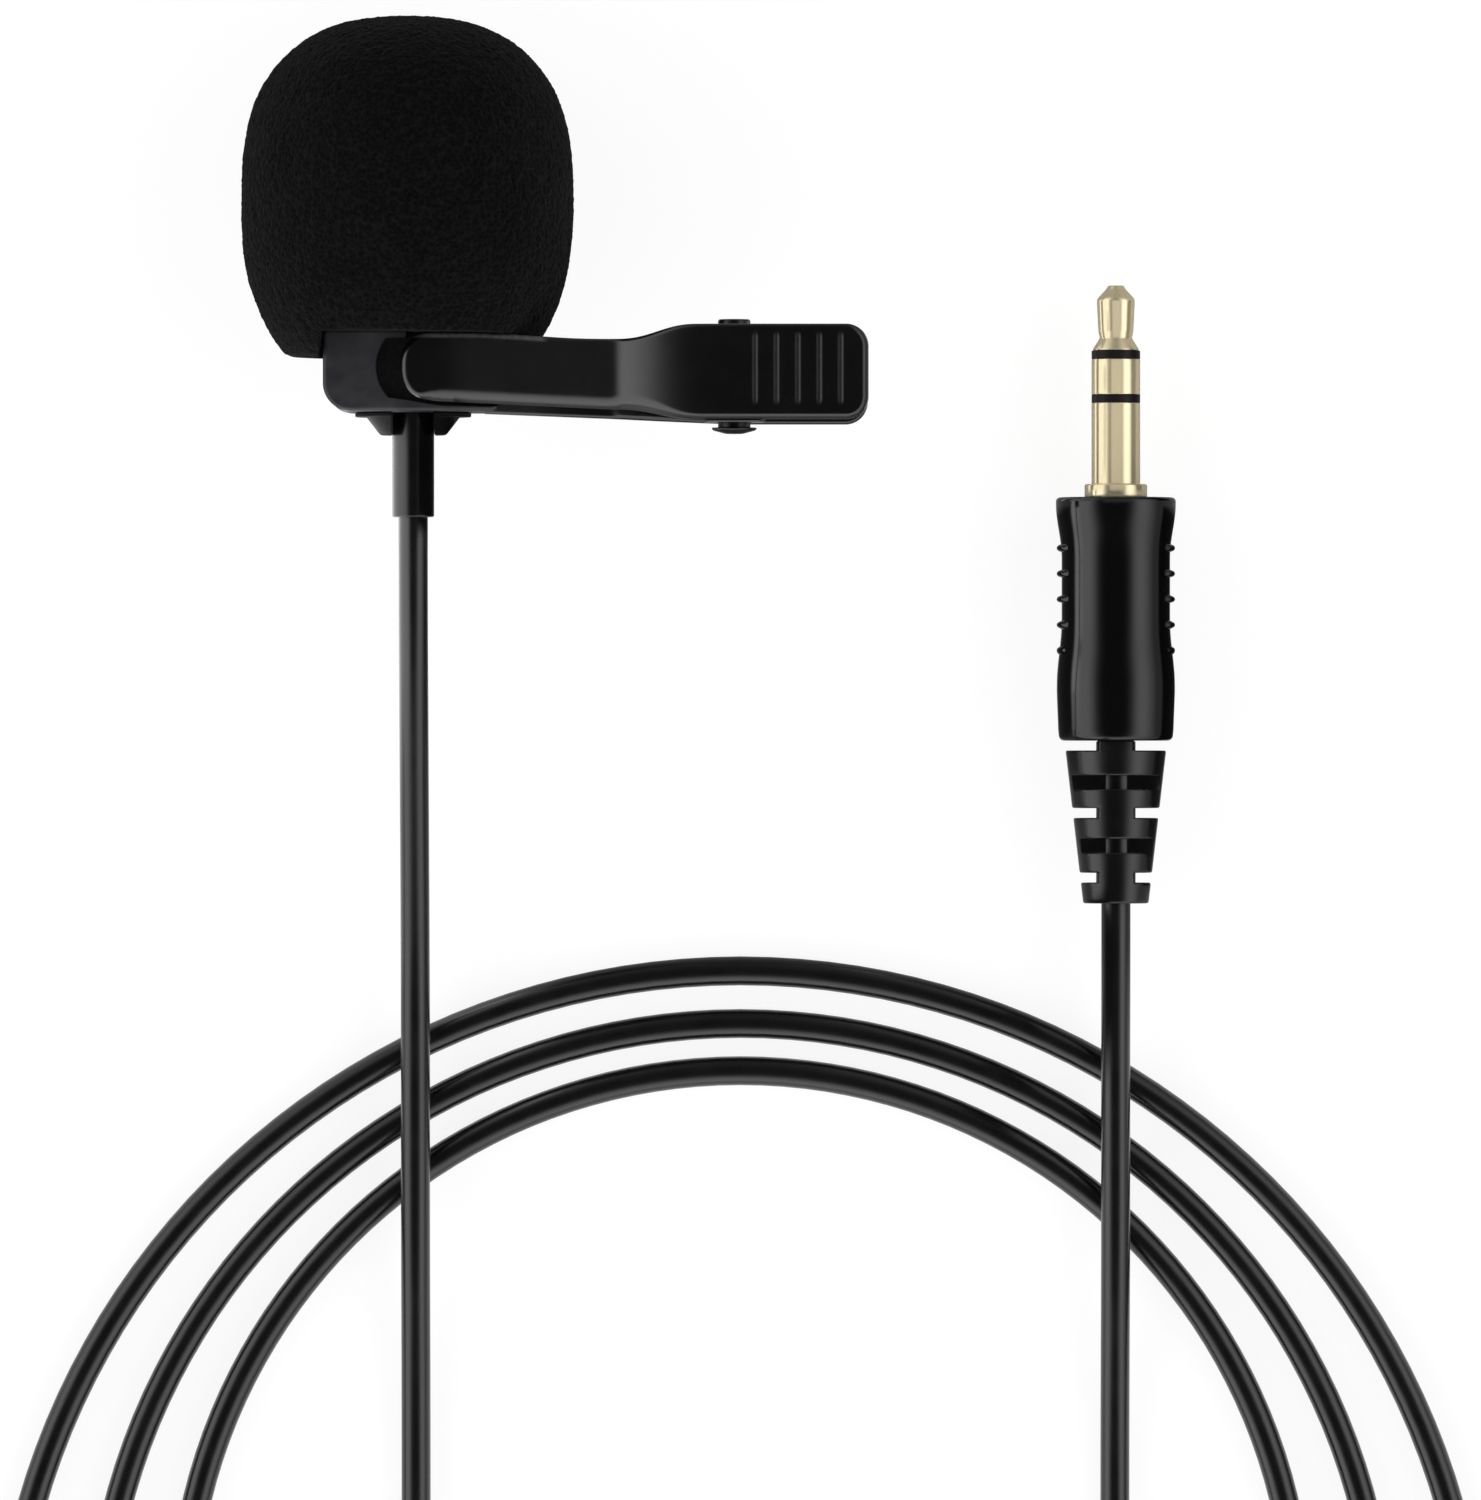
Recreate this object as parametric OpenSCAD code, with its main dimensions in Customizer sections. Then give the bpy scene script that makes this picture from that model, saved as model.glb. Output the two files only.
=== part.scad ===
// Lavalier microphone with a foam windscreen, a spring clip, a thin cable and a 3.5 mm three-pole plug.
// It lies on a flat surface at z = 0. The origin is under the middle of the microphone and its clip.

/* [Foam windscreen] */
// Largest radius of the foam
foam_r = 11.85; // [10:0.05:16]
// Height of the foam above its widest level
foam_up = 12.75; // [10:0.05:18]
// Height of the full curve below the widest level
foam_down = 14.5; // [12.5:0.1:18]
// How far below the widest level the foam is cut off flat
foam_cut = 11.55; // [10:0.05:12]
// Roundness of the outline: 2 is an ellipse, more is squarer
foam_power = 2.5; // [2:0.1:3.5]
// How far the soft ball leans to the left of the microphone
foam_lean = 0.4; // [0:0.05:0.8]
// How deep the ball is pressed flat where it rests
foam_flat = 0.35; // [0.2:0.05:0.8]
// How far the holder block sits inside the foam's lower rim
foam_lap = 1.9; // [1:0.1:3]
// Gap between the foam and what it is pushed over
foam_gap = 0.12; // [0.1:0.01:0.3]

/* [Microphone] */
// Outer radius of the microphone's barrel
barrel_r = 3.7; // [3.4:0.05:4]
// Wall of the barrel
barrel_wall = 0.35; // [0.3:0.05:0.5]
// Height of the barrel above the holder block's middle
barrel_top = 12.5; // [11.5:0.1:14]
// Thickness of the grille cap
cap_t = 0.8; // [0.6:0.1:1.2]
// Radius of one hole in the grille cap
grille_hole_r = 0.45; // [0.3:0.05:0.5]
// Distance from the middle to the ring of grille holes
grille_ring_r = 1.8; // [1.6:0.1:2]
// Thickness of the dust screen
screen_t = 0.2; // [0.1:0.05:0.3]
// Radius of the electret capsule
capsule_r = 3.0; // [2.8:0.05:3.05]
// Length of the electret capsule
capsule_l = 2.7; // [2:0.1:4]
// Radius of the capsule's sound inlet
inlet_r = 1.0; // [0.6:0.1:1.4]
// Thickness of the capsule's circuit board
board_t = 0.5; // [0.4:0.1:0.8]
// Gap between the capsule, its rubber sleeve and the barrel
capsule_gap = 0.02; // [0.01:0.01:0.04]
// Radius of the flange that stops the barrel at the holder block
flange_r = 4.15; // [4.05:0.05:4.5]
// Thickness of the flange
flange_t = 0.45; // [0.3:0.05:0.7]
// Length of the cone below the flange
cone_l = 1.3; // [1:0.1:2]
// Radius of the cone at its foot
cone_foot_r = 2.35; // [2.1:0.05:2.8]
// Length of the tail plug inside the barrel
tail_l = 1.9; // [1.5:0.1:3]
// Radius of the microphone's strain relief
relief_r = 1.5; // [1.4:0.05:1.7]
// Length of the strain relief below the flange
relief_l = 7.0; // [5:0.1:12]
// Radius of one inner wire
wire_r = 0.25; // [0.2:0.05:0.3]

/* [Clip] */
// Distance from the microphone's axis to the holder block's left face
block_left = 6.35; // [6:0.05:7]
// Height of the holder block along the microphone
block_h = 5.85; // [5.4:0.05:6.2]
// Depth of the holder block, front to back
block_d = 10.0; // [9.8:0.1:11]
// Radius of the block's lower left corner
block_corner = 2.0; // [1:0.1:2.5]
// Running gap between the barrel and the holder's bore
barrel_gap = 0.05; // [0.02:0.01:0.1]
// Radius of the round pocket that takes the front lever's tongue
pocket_r = 3.15; // [2.9:0.05:3.4]
// How far the pocket reaches past the tongue's end
pocket_room = 1.75; // [1.2:0.05:2]
// Depth of that pocket
pocket_d = 0.65; // [0.4:0.05:0.7]
// How far the levers' middle lies below the block's middle
clip_drop = 0.3; // [0:0.05:0.4]
// Distance from the microphone's axis to the clip's right end
clip_reach = 32.5; // [31.5:0.1:36]
// Half height of both levers above their middle, at the tongue
tongue_half = 2.95; // [2.6:0.05:3]
// Half height of the front lever below the middle, at the tongue
tongue_low = 1.85; // [1.7:0.05:2.1]
// Half height of both levers above their middle, at the narrowest point of the arm
arm_half = 2.48; // [2.3:0.02:2.8]
// Half height of the front lever below the middle, where the flare starts
arm_low = 2.55; // [2.3:0.05:2.7]
// Half height of the grip
grip_half = 3.5; // [3.3:0.05:4]
// Radius of the grip's corners
grip_corner = 1.6; // [0.8:0.1:2]
// Where the levers start to flare, from the microphone's axis
flare_start = 14.5; // [13:0.1:16]
// Where the flare reaches the grip's full spread
flare_end = 22.9; // [21:0.1:24]
// How far each lever spreads outwards over the flare
flare_rise = 2.5; // [2:0.1:3]
// Thickness of the front lever
front_t = 1.75; // [1.4:0.05:2]
// Thickness of the holder lever's plate
back_t = 1.6; // [1.3:0.05:2]
// Clearance between the two levers' arms
arm_gap = 1.0; // [0.8:0.1:1.4]
// Gap between the closed tongue and the pocket's floor
jaw_gap = 0.05; // [0.03:0.01:0.15]
// Height of one jaw tooth
tooth_h = 0.4; // [0.2:0.05:0.42]
// Distance from one jaw tooth to the next
tooth_pitch = 1.2; // [1:0.1:1.5]
// Number of jaw teeth on each lever
tooth_count = 5; // [3:1:6]
// Width of the long bevel on the front lever's lower edge
bevel_w = 1.1; // [0.6:0.1:1.4]
// Number of ribs across the grip
rib_count = 5; // [3:1:6]
// Distance from one rib to the next
rib_pitch = 1.52; // [1.2:0.02:1.7]
// Radius of one rib
rib_r = 0.3; // [0.2:0.05:0.4]

/* [Hinge and spring] */
// Distance from the microphone's axis to the hinge pin
pin_x = 22.95; // [22:0.05:24]
// Radius of the hinge pin
pin_r = 1.15; // [0.9:0.05:1.3]
// Radius of the pin's domed head
pin_head_r = 1.65; // [1.4:0.05:2]
// Thickness of the pin's head
pin_head_t = 0.45; // [0.3:0.05:0.6]
// How far the pin stands out of the lever at each end
pin_proud = 0.3; // [0.2:0.05:0.5]
// Running gap between the pin and the ears
pin_gap = 0.05; // [0.02:0.01:0.1]
// Radius of the ears round the pin
ear_r = 2.2; // [1.9:0.05:2.4]
// Thickness of one ear
ear_t = 0.8; // [0.6:0.05:0.9]
// Gap between the two levers' ears
ear_gap = 0.1; // [0.05:0.01:0.2]
// Radius of the spring wire
spring_wire_r = 0.2; // [0.15:0.01:0.22]
// Radius of the spring's curls, to the middle of the wire
spring_r = 1.6; // [1.5:0.05:1.7]
// Number of whole curls in the spring
spring_turns = 2; // [1:1:2]
// Distance from one curl to the next
spring_pitch = 0.85; // [0.82:0.01:0.9]
// Length of each spring leg
spring_leg = 6; // [4:0.1:8]

/* [Cable] */
// Diameter of the cable
cable_d = 2.1; // [1.8:0.05:2.2]

/* [Plug] */
// Distance from the microphone's axis across to the plug's axis
plug_dx = 50.4; // [50.4]
// Radius of the plug's contacts
contact_r = 1.75; // [1.75]
// Length of the tip contact
tip_l = 4.7; // [4.4:0.1:4.8]
// Largest radius of the tip's head
tip_head_r = 1.375; // [1.3:0.025:1.5]
// Radius of the waist behind the tip's head
tip_waist_r = 1.12; // [1:0.02:1.2]
// Length of the insulator behind the tip
insulator_l = 0.6; // [0.4:0.1:0.8]
// Length of the ring contact
ring_l = 2.55; // [2.2:0.05:3]
// Length of the sleeve contact
sleeve_l = 5.85; // [5:0.05:7]
// Radius of the flange at the sleeve's foot
sleeve_flange_r = 2.25; // [2.1:0.05:2.6]
// Thickness of that flange
sleeve_flange_t = 0.95; // [0.6:0.05:1.2]
// Wall of the contact tubes
contact_wall = 0.25; // [0.2:0.05:0.3]
// Gap between contacts and insulators
contact_gap = 0.02; // [0.01:0.01:0.04]
// Radius of the centre rod that carries the tip
rod_r = 0.6; // [0.5:0.05:0.7]
// Length of the plug's grip
body_l = 17.5; // [16:0.1:20]
// Radius of the grip at its ends
body_r = 4.32; // [4.2:0.02:4.6]
// Radius of the grip at its waist
waist_r = 3.9; // [3.6:0.05:4]
// Radius of the hollow in the grip
hollow_r = 2.6; // [2.4:0.1:2.9]
// Number of small ribs on each side of the grip
side_rib_count = 5; // [3:1:6]
// Distance from one side rib to the next
side_rib_pitch = 1.84; // [1.6:0.02:2]
// Thickness of one side rib
side_rib_t = 0.4; // [0.3:0.05:0.6]
// How far round the grip a side rib reaches, in degrees
side_rib_arc = 56; // [30:2:80]

/* [Plug strain relief] */
// Length of the strain relief behind the plug
tail_relief_l = 11.7; // [10:0.1:14]
// Radius of the strain relief where it starts
tail_relief_r = 3.7; // [3.4:0.05:4]
// Radius of the strain relief where it ends
tail_relief_end_r = 2.35; // [2:0.05:2.6]
// Height of the slots that open to the sides of the strain relief
side_slot_h = 0.7; // [0.5:0.05:0.9]
// Height of the slots that open to its front and back
front_slot_h = 1; // [0.7:0.05:1.2]
// Half width of the web that each slot leaves
web_half = 1.2; // [1.1:0.05:1.4]

/* [Hidden] */

$fn = 64;
eps = 0.01;
black_foam = "#141415";
black_plastic = "#1c1c1f";
black_rubber = "#232326";
pale_gold = "#d8bf8a";
steel = "#a8a8ac";

// Microphone: lengths along its axis, from the holder block's middle
foam_level = foam_cut + block_h / 2 - foam_lap;
foam_bottom = foam_level - foam_cut;
foam_top = foam_level + foam_up;
mic_z = foam_r - foam_flat;
block_bottom = -block_h / 2;
flange_top = block_bottom - 0.05;
flange_bottom = flange_top - flange_t;
cone_bottom = flange_bottom - cone_l;
tail_top = flange_top + tail_l;
relief_bottom = flange_bottom - relief_l;
crimp_l = 1.0;
relief_top = tail_top + crimp_l + 0.2;
capsule_top = barrel_top - screen_t;
capsule_bottom = capsule_top - capsule_l;
board_bottom = capsule_bottom - board_t;
bore_r = barrel_r - barrel_wall;

// Clip: heights above the microphone's axis
block_front = block_d / 2;
pocket_z = block_front - pocket_d;
jaw_z = pocket_z + jaw_gap;
front_face_z = jaw_z + front_t;
back_face_z = jaw_z - arm_gap;
mid_z = jaw_z - arm_gap / 2;
front_in_z = jaw_z + flare_rise;
back_in_z = back_face_z - flare_rise;
block_right = barrel_r + barrel_gap + 2.4;
tongue_r = (tongue_half + tongue_low) / 2;
tongue_y = (tongue_half - tongue_low) / 2 - clip_drop;
tongue_tip = -0.8;
tongue_x = tongue_tip + tongue_r;
pocket_x = tongue_tip - pocket_room + pocket_r;
back_low = 2.6;
grip_low = grip_half - 0.25;
fall_start = 2.5;
ear_out = grip_half - 0.05;
ear_in = ear_out - ear_t - ear_gap;
pin_low = -clip_drop - grip_half - pin_proud;
pin_high = -clip_drop + grip_half + pin_proud;

// Where the microphone stands in the part's frame
mic_x = -(clip_reach - foam_r - foam_lean) / 2;
mic_y = -(foam_top + relief_bottom) / 2;

// Plug: its grip's front face lies this far along the microphone's axis direction
plug_y = -8.9;
plug_z = body_r;
relief_end_y = plug_y - body_l - tail_relief_l;

// Cable route, from the point on the surface under the holder block's middle
cable_r = cable_d / 2;
loop_x = 23.4;
loop_r = [40.3, 46.4, 53.2];
loop_y = [-90.5, -93.2, -96.2];
coil_start_y = -107.4;
coil_end_y = loop_y[2] - loop_r[2];
pure_from = 103;
pure_to = 257;
mic_route = [[0, relief_bottom, mic_z], [0, relief_bottom - cable_d, mic_z], [0, -15, 11.3], [0, -19, 10.7], [0, -25, 9.1], [0, -31, 7.3],
    [0, -37, 5.6], [0, -43, 4.2], [0, -49, 3.6], [0, -54, 3.5], [0, -59, 3.4], [0, -64, 2.9],
    [0, -70, 1.9], [0, -76, 1.3], [0, -82, cable_r], [0, -88, cable_r], [0, -94, cable_r], [0, -100, cable_r],
    [0, coil_start_y + cable_d, cable_r]];
plug_route = [[loop_x + cable_d, coil_end_y, cable_r], [loop_x + 2 * cable_d, coil_end_y, cable_r],
    [32.5, -148.2, 1.9], [37.2, -145.6, 3.1],
    [42.5, -141.5, 3.5], [46.8, -135.9, 3.5], [49.5, -129.4, 3.5], [plug_dx, -122.4, 3.5],
    [plug_dx, -116, 3.2], [plug_dx, -110, 2.3], [plug_dx, -104, 1.4], [plug_dx, -98, cable_r],
    [plug_dx, -91, cable_r], [plug_dx, -84, cable_r], [plug_dx, -77, 1.2], [plug_dx, -71, 2.0],
    [plug_dx, -65.5, 3.0], [plug_dx, -60.5, 3.5], [plug_dx, -55.5, 3.6], [plug_dx, -50, 3.7],
    [plug_dx, -45, 4.1], [plug_dx, relief_end_y - cable_d, plug_z], [plug_dx, relief_end_y, plug_z]];

// Placing helpers
module in_mic() { translate([mic_x, mic_y, mic_z]) children(); }
module on_surface() { translate([mic_x, mic_y, 0]) children(); }
module in_clip() { in_mic() translate([0, -clip_drop, 0]) children(); }
module in_plug() { translate([mic_x + plug_dx, mic_y + plug_y, plug_z]) children(); }
module along_y(y0) { translate([0, y0, 0]) rotate([-90, 0, 0]) children(); }
module tube_y(y0, y1, r_out, r_in) {
    along_y(y0) difference() {
        cylinder(h = y1 - y0, r = r_out);
        translate([0, 0, -eps]) cylinder(h = y1 - y0 + 2 * eps, r = r_in);
    }
}
module rod_y(y0, y1, r) { along_y(y0) cylinder(h = y1 - y0, r = r); }

// Points on a circle's arc
function arc(cx, cy, r, a0, a1, n) =
    [for (i = [0:n]) let (a = a0 + (a1 - a0) * i / n) [cx + r * cos(a), cy + r * sin(a)]];
function ease(t) = t <= 0 ? 0 : t >= 1 ? 1 : t * t * t * (t * (6 * t - 15) + 10);
function mix(a, b, t) = a + (b - a) * t;

// ---- Foam windscreen ----

// Half width of the foam at height v above its widest level
function foam_half(v) =
    foam_r * pow(max(0, 1 - pow(abs(v) / (v > 0 ? foam_up : foam_down), foam_power)), 1 / foam_power);
foam_steps = 12;
function foam_side() = concat(
    [for (i = [0:foam_steps - 1]) let (v = -foam_cut * (1 - i / foam_steps)) [foam_half(v), v]],
    [for (i = [0:foam_steps]) let (v = foam_up * sin(90 * i / foam_steps)) [foam_half(v), v]]);

module foam_windscreen() {
    color(black_foam) in_mic() difference() {
        translate([-foam_lean, foam_level, 0]) rotate([-90, 0, 0])
            rotate_extrude() polygon(concat([[0, -foam_cut]], foam_side()));
        rod_y(foam_bottom - 1, barrel_top + cap_t + foam_gap, barrel_r + foam_gap);
        // Dent that takes the holder block
        translate([-block_left - foam_gap, foam_bottom - 1, -block_front - foam_gap])
            cube([block_left + block_right + 2 * foam_gap, 1 + foam_lap + foam_gap, 3 * foam_r]);
        // Dent that takes the levers' arms
        translate([0, foam_bottom - 1, back_face_z - back_t - foam_gap])
            cube([3 * foam_r, 1 + foam_lap - block_h / 2 + tongue_half - clip_drop + foam_gap, 3 * foam_r]);
        // Flat where the ball rests on the surface
        translate([-2 * foam_r, 0, -mic_z - 2]) cube([4 * foam_r, 3 * foam_r, 2]);
    }
}

// ---- Microphone ----

module grille_cap() {
    color(steel) in_mic() difference() {
        rod_y(barrel_top, barrel_top + cap_t, barrel_r);
        rod_y(barrel_top - 1, barrel_top + 2, grille_hole_r);
        for (a = [0:60:300]) rotate([0, a, 0]) translate([grille_ring_r, 0, 0])
            rod_y(barrel_top - 1, barrel_top + 2, grille_hole_r);
    }
}

module dust_screen() {
    color(black_foam) in_mic() rod_y(capsule_top, barrel_top, bore_r - capsule_gap);
}

module capsule_can() {
    color(steel) in_mic() difference() {
        rod_y(capsule_bottom, capsule_top, capsule_r);
        rod_y(capsule_top - 0.4, capsule_top + 1, inlet_r);
    }
}

module capsule_board() {
    color("#2d5a3c") in_mic() rod_y(board_bottom, capsule_bottom, capsule_r - 0.3);
}

module capsule_sleeve() {
    color(black_rubber) in_mic()
        tube_y(board_bottom, capsule_top, bore_r - capsule_gap, capsule_r + capsule_gap);
}

module mic_wires() {
    color("#a03a30") in_mic() for (side = [-1, 1]) translate([side * 0.8, 0, 0])
        rod_y(relief_top, board_bottom, wire_r);
}

module mic_barrel() {
    color(black_plastic) in_mic() tube_y(flange_top, barrel_top, barrel_r, bore_r);
}

module tail_plug() {
    color(black_plastic) in_mic() difference() {
        union() {
            rod_y(flange_top, tail_top, bore_r - capsule_gap);
            rod_y(flange_bottom, flange_top, flange_r);
            along_y(cone_bottom) cylinder(h = cone_l, r1 = cone_foot_r, r2 = bore_r);
        }
        rod_y(cone_bottom - 1, tail_top + 1, relief_r + capsule_gap);
        // Slots at the front and the back let the cone's two jaws close on the strain relief
        translate([-relief_r, cone_bottom - 1, -flange_r]) cube([2 * relief_r, 1 + cone_l, 2 * flange_r]);
    }
}

module cable_crimp() {
    color(steel) in_mic() tube_y(tail_top, tail_top + crimp_l, relief_r + 0.6, relief_r + capsule_gap);
}

module mic_strain_relief() {
    color(black_rubber) in_mic() rod_y(relief_bottom, relief_top, relief_r);
}

// ---- Clip ----

// How far a lever has spread at distance x from the microphone's axis: a round flare after a crease
flare_run = flare_end - flare_start;
flare_r = (flare_run * flare_run + flare_rise * flare_rise) / (2 * flare_rise);
function spread(x) = x <= flare_start ? 0 : x >= flare_end ? flare_rise :
    flare_rise - flare_r + sqrt(flare_r * flare_r - (flare_end - x) * (flare_end - x));
spread_x = concat([for (i = [0:10]) flare_start + flare_run * i / 10]);
function plate(x0, face, inner, way) = concat([[x0, face]],
    [for (x = spread_x) [x, face + way * spread(x)]], [[clip_reach, face + way * flare_rise]],
    [[clip_reach, inner + way * flare_rise]],
    [for (i = [len(spread_x) - 1:-1:0]) [spread_x[i], inner + way * spread(spread_x[i])]], [[x0, inner]]);
module side_plate(points) {
    translate([0, 10, 0]) rotate([90, 0, 0]) linear_extrude(20) polygon(points);
}

// Half heights of the levers, above and below their middle
grip_start = flare_start + 6;
function half_up(x) = x < flare_start ?
    mix(tongue_half, arm_half, ease((x - fall_start) / (flare_start - fall_start))) :
    mix(arm_half, grip_half, ease((x - flare_start) / (grip_start - flare_start)));
function half_front(x) = x < flare_start ? mix(tongue_low, arm_low, max(0, x) / flare_start) :
    mix(arm_low, grip_low, ease((x - flare_start) / (grip_start - flare_start)));
function half_back(x) = mix(back_low, grip_half, min(1, max(0, x) / pin_x));
arm_x = [for (i = [1:5]) mix(fall_start, flare_start, i / 6)];
flare_x = [for (i = [0:6]) mix(flare_start, grip_start, i / 6)];
back_edge = [[pin_x, -half_back(pin_x)], [block_right - 1, -half_back(block_right - 1)]];
front_edge = concat([for (i = [6:-1:0]) [flare_x[i], -half_front(flare_x[i])]], [[tongue_x, -half_front(tongue_x)]]);
module outline(x0, low_edge) {
    low_end = -low_edge[0].y;
    polygon(concat([[x0, half_up(x0)]], [for (x = arm_x) if (x > x0) [x, half_up(x)]],
        [for (x = flare_x) [x, half_up(x)]],
        arc(clip_reach - grip_corner, grip_half - grip_corner, grip_corner, 90, 0, 8),
        arc(clip_reach - grip_corner, grip_corner - low_end, grip_corner, 0, -90, 8), low_edge));
}

// One row of jaw teeth across the arm, points towards +z
module teeth() {
    for (i = [0:tooth_count - 1]) translate([block_right + 0.8 + tooth_pitch * i, 2, 0]) rotate([90, 0, 0])
        linear_extrude(4) polygon([[0, -0.1], [0.8, -0.1], [0.4, tooth_h]]);
}
// Two ears round the pin, with their outer faces at y = out and their roots at height root
module ears(out, root) {
    for (side = [-1, 1]) translate([pin_x, side * (out - ear_t / 2), 0]) {
        translate([0, -ear_t / 2, mid_z]) along_y(0) cylinder(h = ear_t, r = ear_r);
        translate([-ear_r, -ear_t / 2, min(mid_z, root)]) cube([2 * ear_r, ear_t, abs(root - mid_z)]);
    }
}
module pin_bore() { translate([pin_x, 0, mid_z]) rod_y(-10, 10, pin_r + pin_gap); }

module holder_lever() {
    color(black_plastic) difference() {
        union() {
            in_mic() difference() {
                translate([-block_left, block_bottom, -block_front])
                    cube([block_left + block_right, block_h, block_d]);
                // Round lower left corner
                translate([-block_left, block_bottom, -block_front - 1]) difference() {
                    translate([-1, -1, 0]) cube([1 + block_corner, 1 + block_corner, block_d + 2]);
                    translate([block_corner, block_corner, -1]) cylinder(h = block_d + 4, r = block_corner);
                }
            }
            in_clip() intersection() {
                side_plate(plate(block_right - 1, back_face_z - back_t, back_face_z, -1));
                translate([0, 0, -10]) linear_extrude(30)
                    outline(block_right - 1, back_edge);
            }
            in_clip() ears(ear_in, back_in_z - 0.3);
            in_clip() translate([0, 0, back_face_z]) teeth();
        }
        in_mic() rod_y(-10, 10, barrel_r + barrel_gap);
        in_mic() translate([pocket_x, tongue_y, pocket_z]) cylinder(h = 5, r = pocket_r);
        in_mic() translate([pocket_x, -5, pocket_z]) cube([20, 10, 5]);
        in_clip() pin_bore();
    }
}

module front_lever() {
    rib_first = clip_reach - grip_corner - 0.4 - rib_pitch * (rib_count - 1);
    bevel_turn = atan((arm_low - tongue_low) / flare_start);
    color(black_plastic) in_clip() difference() {
        union() {
            intersection() {
                side_plate(plate(tongue_tip, front_face_z, jaw_z, 1));
                translate([0, 0, -10]) linear_extrude(30) union() {
                    outline(tongue_x, front_edge);
                    translate([tongue_x, tongue_y + clip_drop]) circle(r = tongue_r);
                }
            }
            ears(ear_out, front_in_z + 0.3);
            translate([0, 0, jaw_z + 0.05]) mirror([0, 0, 1]) teeth();
            for (i = [0:rib_count - 1]) translate([rib_first + rib_pitch * i, 0, front_face_z + flare_rise])
                rod_y(0.4 - grip_half, grip_half - 0.4, rib_r);
        }
        // Long bevel along the arm's lower edge
        translate([-5, -tongue_low, front_face_z - bevel_w]) rotate([-45, 0, -bevel_turn])
            translate([0, -4, 0]) cube([flare_start + 6, 4, 4]);
        pin_bore();
    }
}

module hinge_pin() {
    color(steel) in_mic() translate([pin_x, 0, mid_z]) {
        rod_y(pin_low, pin_high, pin_r);
        along_y(pin_low - pin_head_t) cylinder(h = pin_head_t, r1 = pin_head_r - 0.4, r2 = pin_head_r);
    }
}

// Tube swept along points: n sides with flats at radius r, rings square to the path, flat ends
function unit(v) = v / norm(v);
function tangent(p, i) = unit(i == 0 ? p[1] - p[0] : i == len(p) - 1 ? p[i] - p[i - 1] :
    unit(p[i + 1] - p[i]) + unit(p[i] - p[i - 1]));
function ring(c, t, up, r, n) = let (side = unit(cross(t, up)), top = cross(side, t), rr = r / cos(180 / n))
    [for (k = [0:n - 1]) let (a = 360 * (k + 0.5) / n + 90) c + rr * (cos(a) * side + sin(a) * top)];
module sweep(p, r, n, up = [0, 0, 1]) {
    m = len(p);
    points = [for (i = [0:m - 1]) each ring(p[i], tangent(p, i), up, r, n)];
    sides = [for (i = [0:m - 2]) for (k = [0:n - 1]) let (a = i * n + k, b = i * n + (k + 1) % n)
        each [[a, a + n, b + n], [a, b + n, b]]];
    caps = [for (k = [1:n - 2]) each [[0, k, k + 1], [(m - 1) * n, (m - 1) * n + k + 1, (m - 1) * n + k]]];
    polyhedron(points, concat(sides, caps));
}

// Torsion spring: leg, curls, leg
spring_sides = 6;
spring_rings = 8;
spring_open = asin((front_in_z - mid_z - spring_r - spring_wire_r - 0.3) / spring_leg);
curl_from = -90 - spring_open;
curl_to = 90 + spring_open + 360 * spring_turns;
curl_steps = round((curl_to - curl_from) / 360 * spring_rings);
spring_half = (curl_to - curl_from) / 360 * spring_pitch / 2;
function curl(i) = let (t = i / curl_steps, a = mix(curl_from, curl_to, t))
    [-spring_r * cos(a), mix(-spring_half, spring_half, t), spring_r * sin(a)];
curl_points = [for (i = [0:curl_steps]) curl(i)];
function leg(from, up) = from + spring_leg * [cos(spring_open), 0, up * sin(spring_open)];
spring_path = concat([leg(curl_points[0], -1)], curl_points, [leg(curl_points[curl_steps], 1)]);

module torsion_spring() {
    color(steel) in_clip() translate([pin_x, 0, mid_z]) sweep(spring_path, spring_wire_r, spring_sides, [0, 1, 0]);
}

// ---- Cable ----

// Loop that the coil follows at angle a, counted from the bottom of the inner loop
function loop_at(a, list) = let (turn = floor((a + 103) / 360), k = min(2, max(0, turn)),
    back = a - 360 * k, blend = k == 0 ? 1 : ease((back + 360 - pure_to) / (pure_from + 360 - pure_to)))
    mix(list[max(0, k - 1)], list[k], blend);
// The way in: the first bend starts tighter and grows into the inner loop
way_in_r = loop_x;
way_in_y = loop_y[0] - loop_r[0] + way_in_r;
function coil_r(a) = a < 40 ? mix(way_in_r, loop_r[0], ease((a + 40) / 80)) : loop_at(a, loop_r);
function coil_y(a) = a < 40 ? mix(way_in_y, loop_y[0], ease((a + 40) / 80)) : loop_at(a, loop_y);
function coil_point(a) = [loop_x + coil_r(a) * sin(a), coil_y(a) - coil_r(a) * cos(a), cable_r];
rings_per_loop = 24;
coil_turns = 3;
coil_steps = rings_per_loop * (coil_turns + 0.25);
coil_curve = [for (i = [0:coil_steps]) coil_point(-90 + 360 * i / rings_per_loop)];
coil_path = concat([[0, way_in_y + cable_d, cable_r]], coil_curve,
    [[loop_x + cable_d, coil_end_y, cable_r]]);

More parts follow.
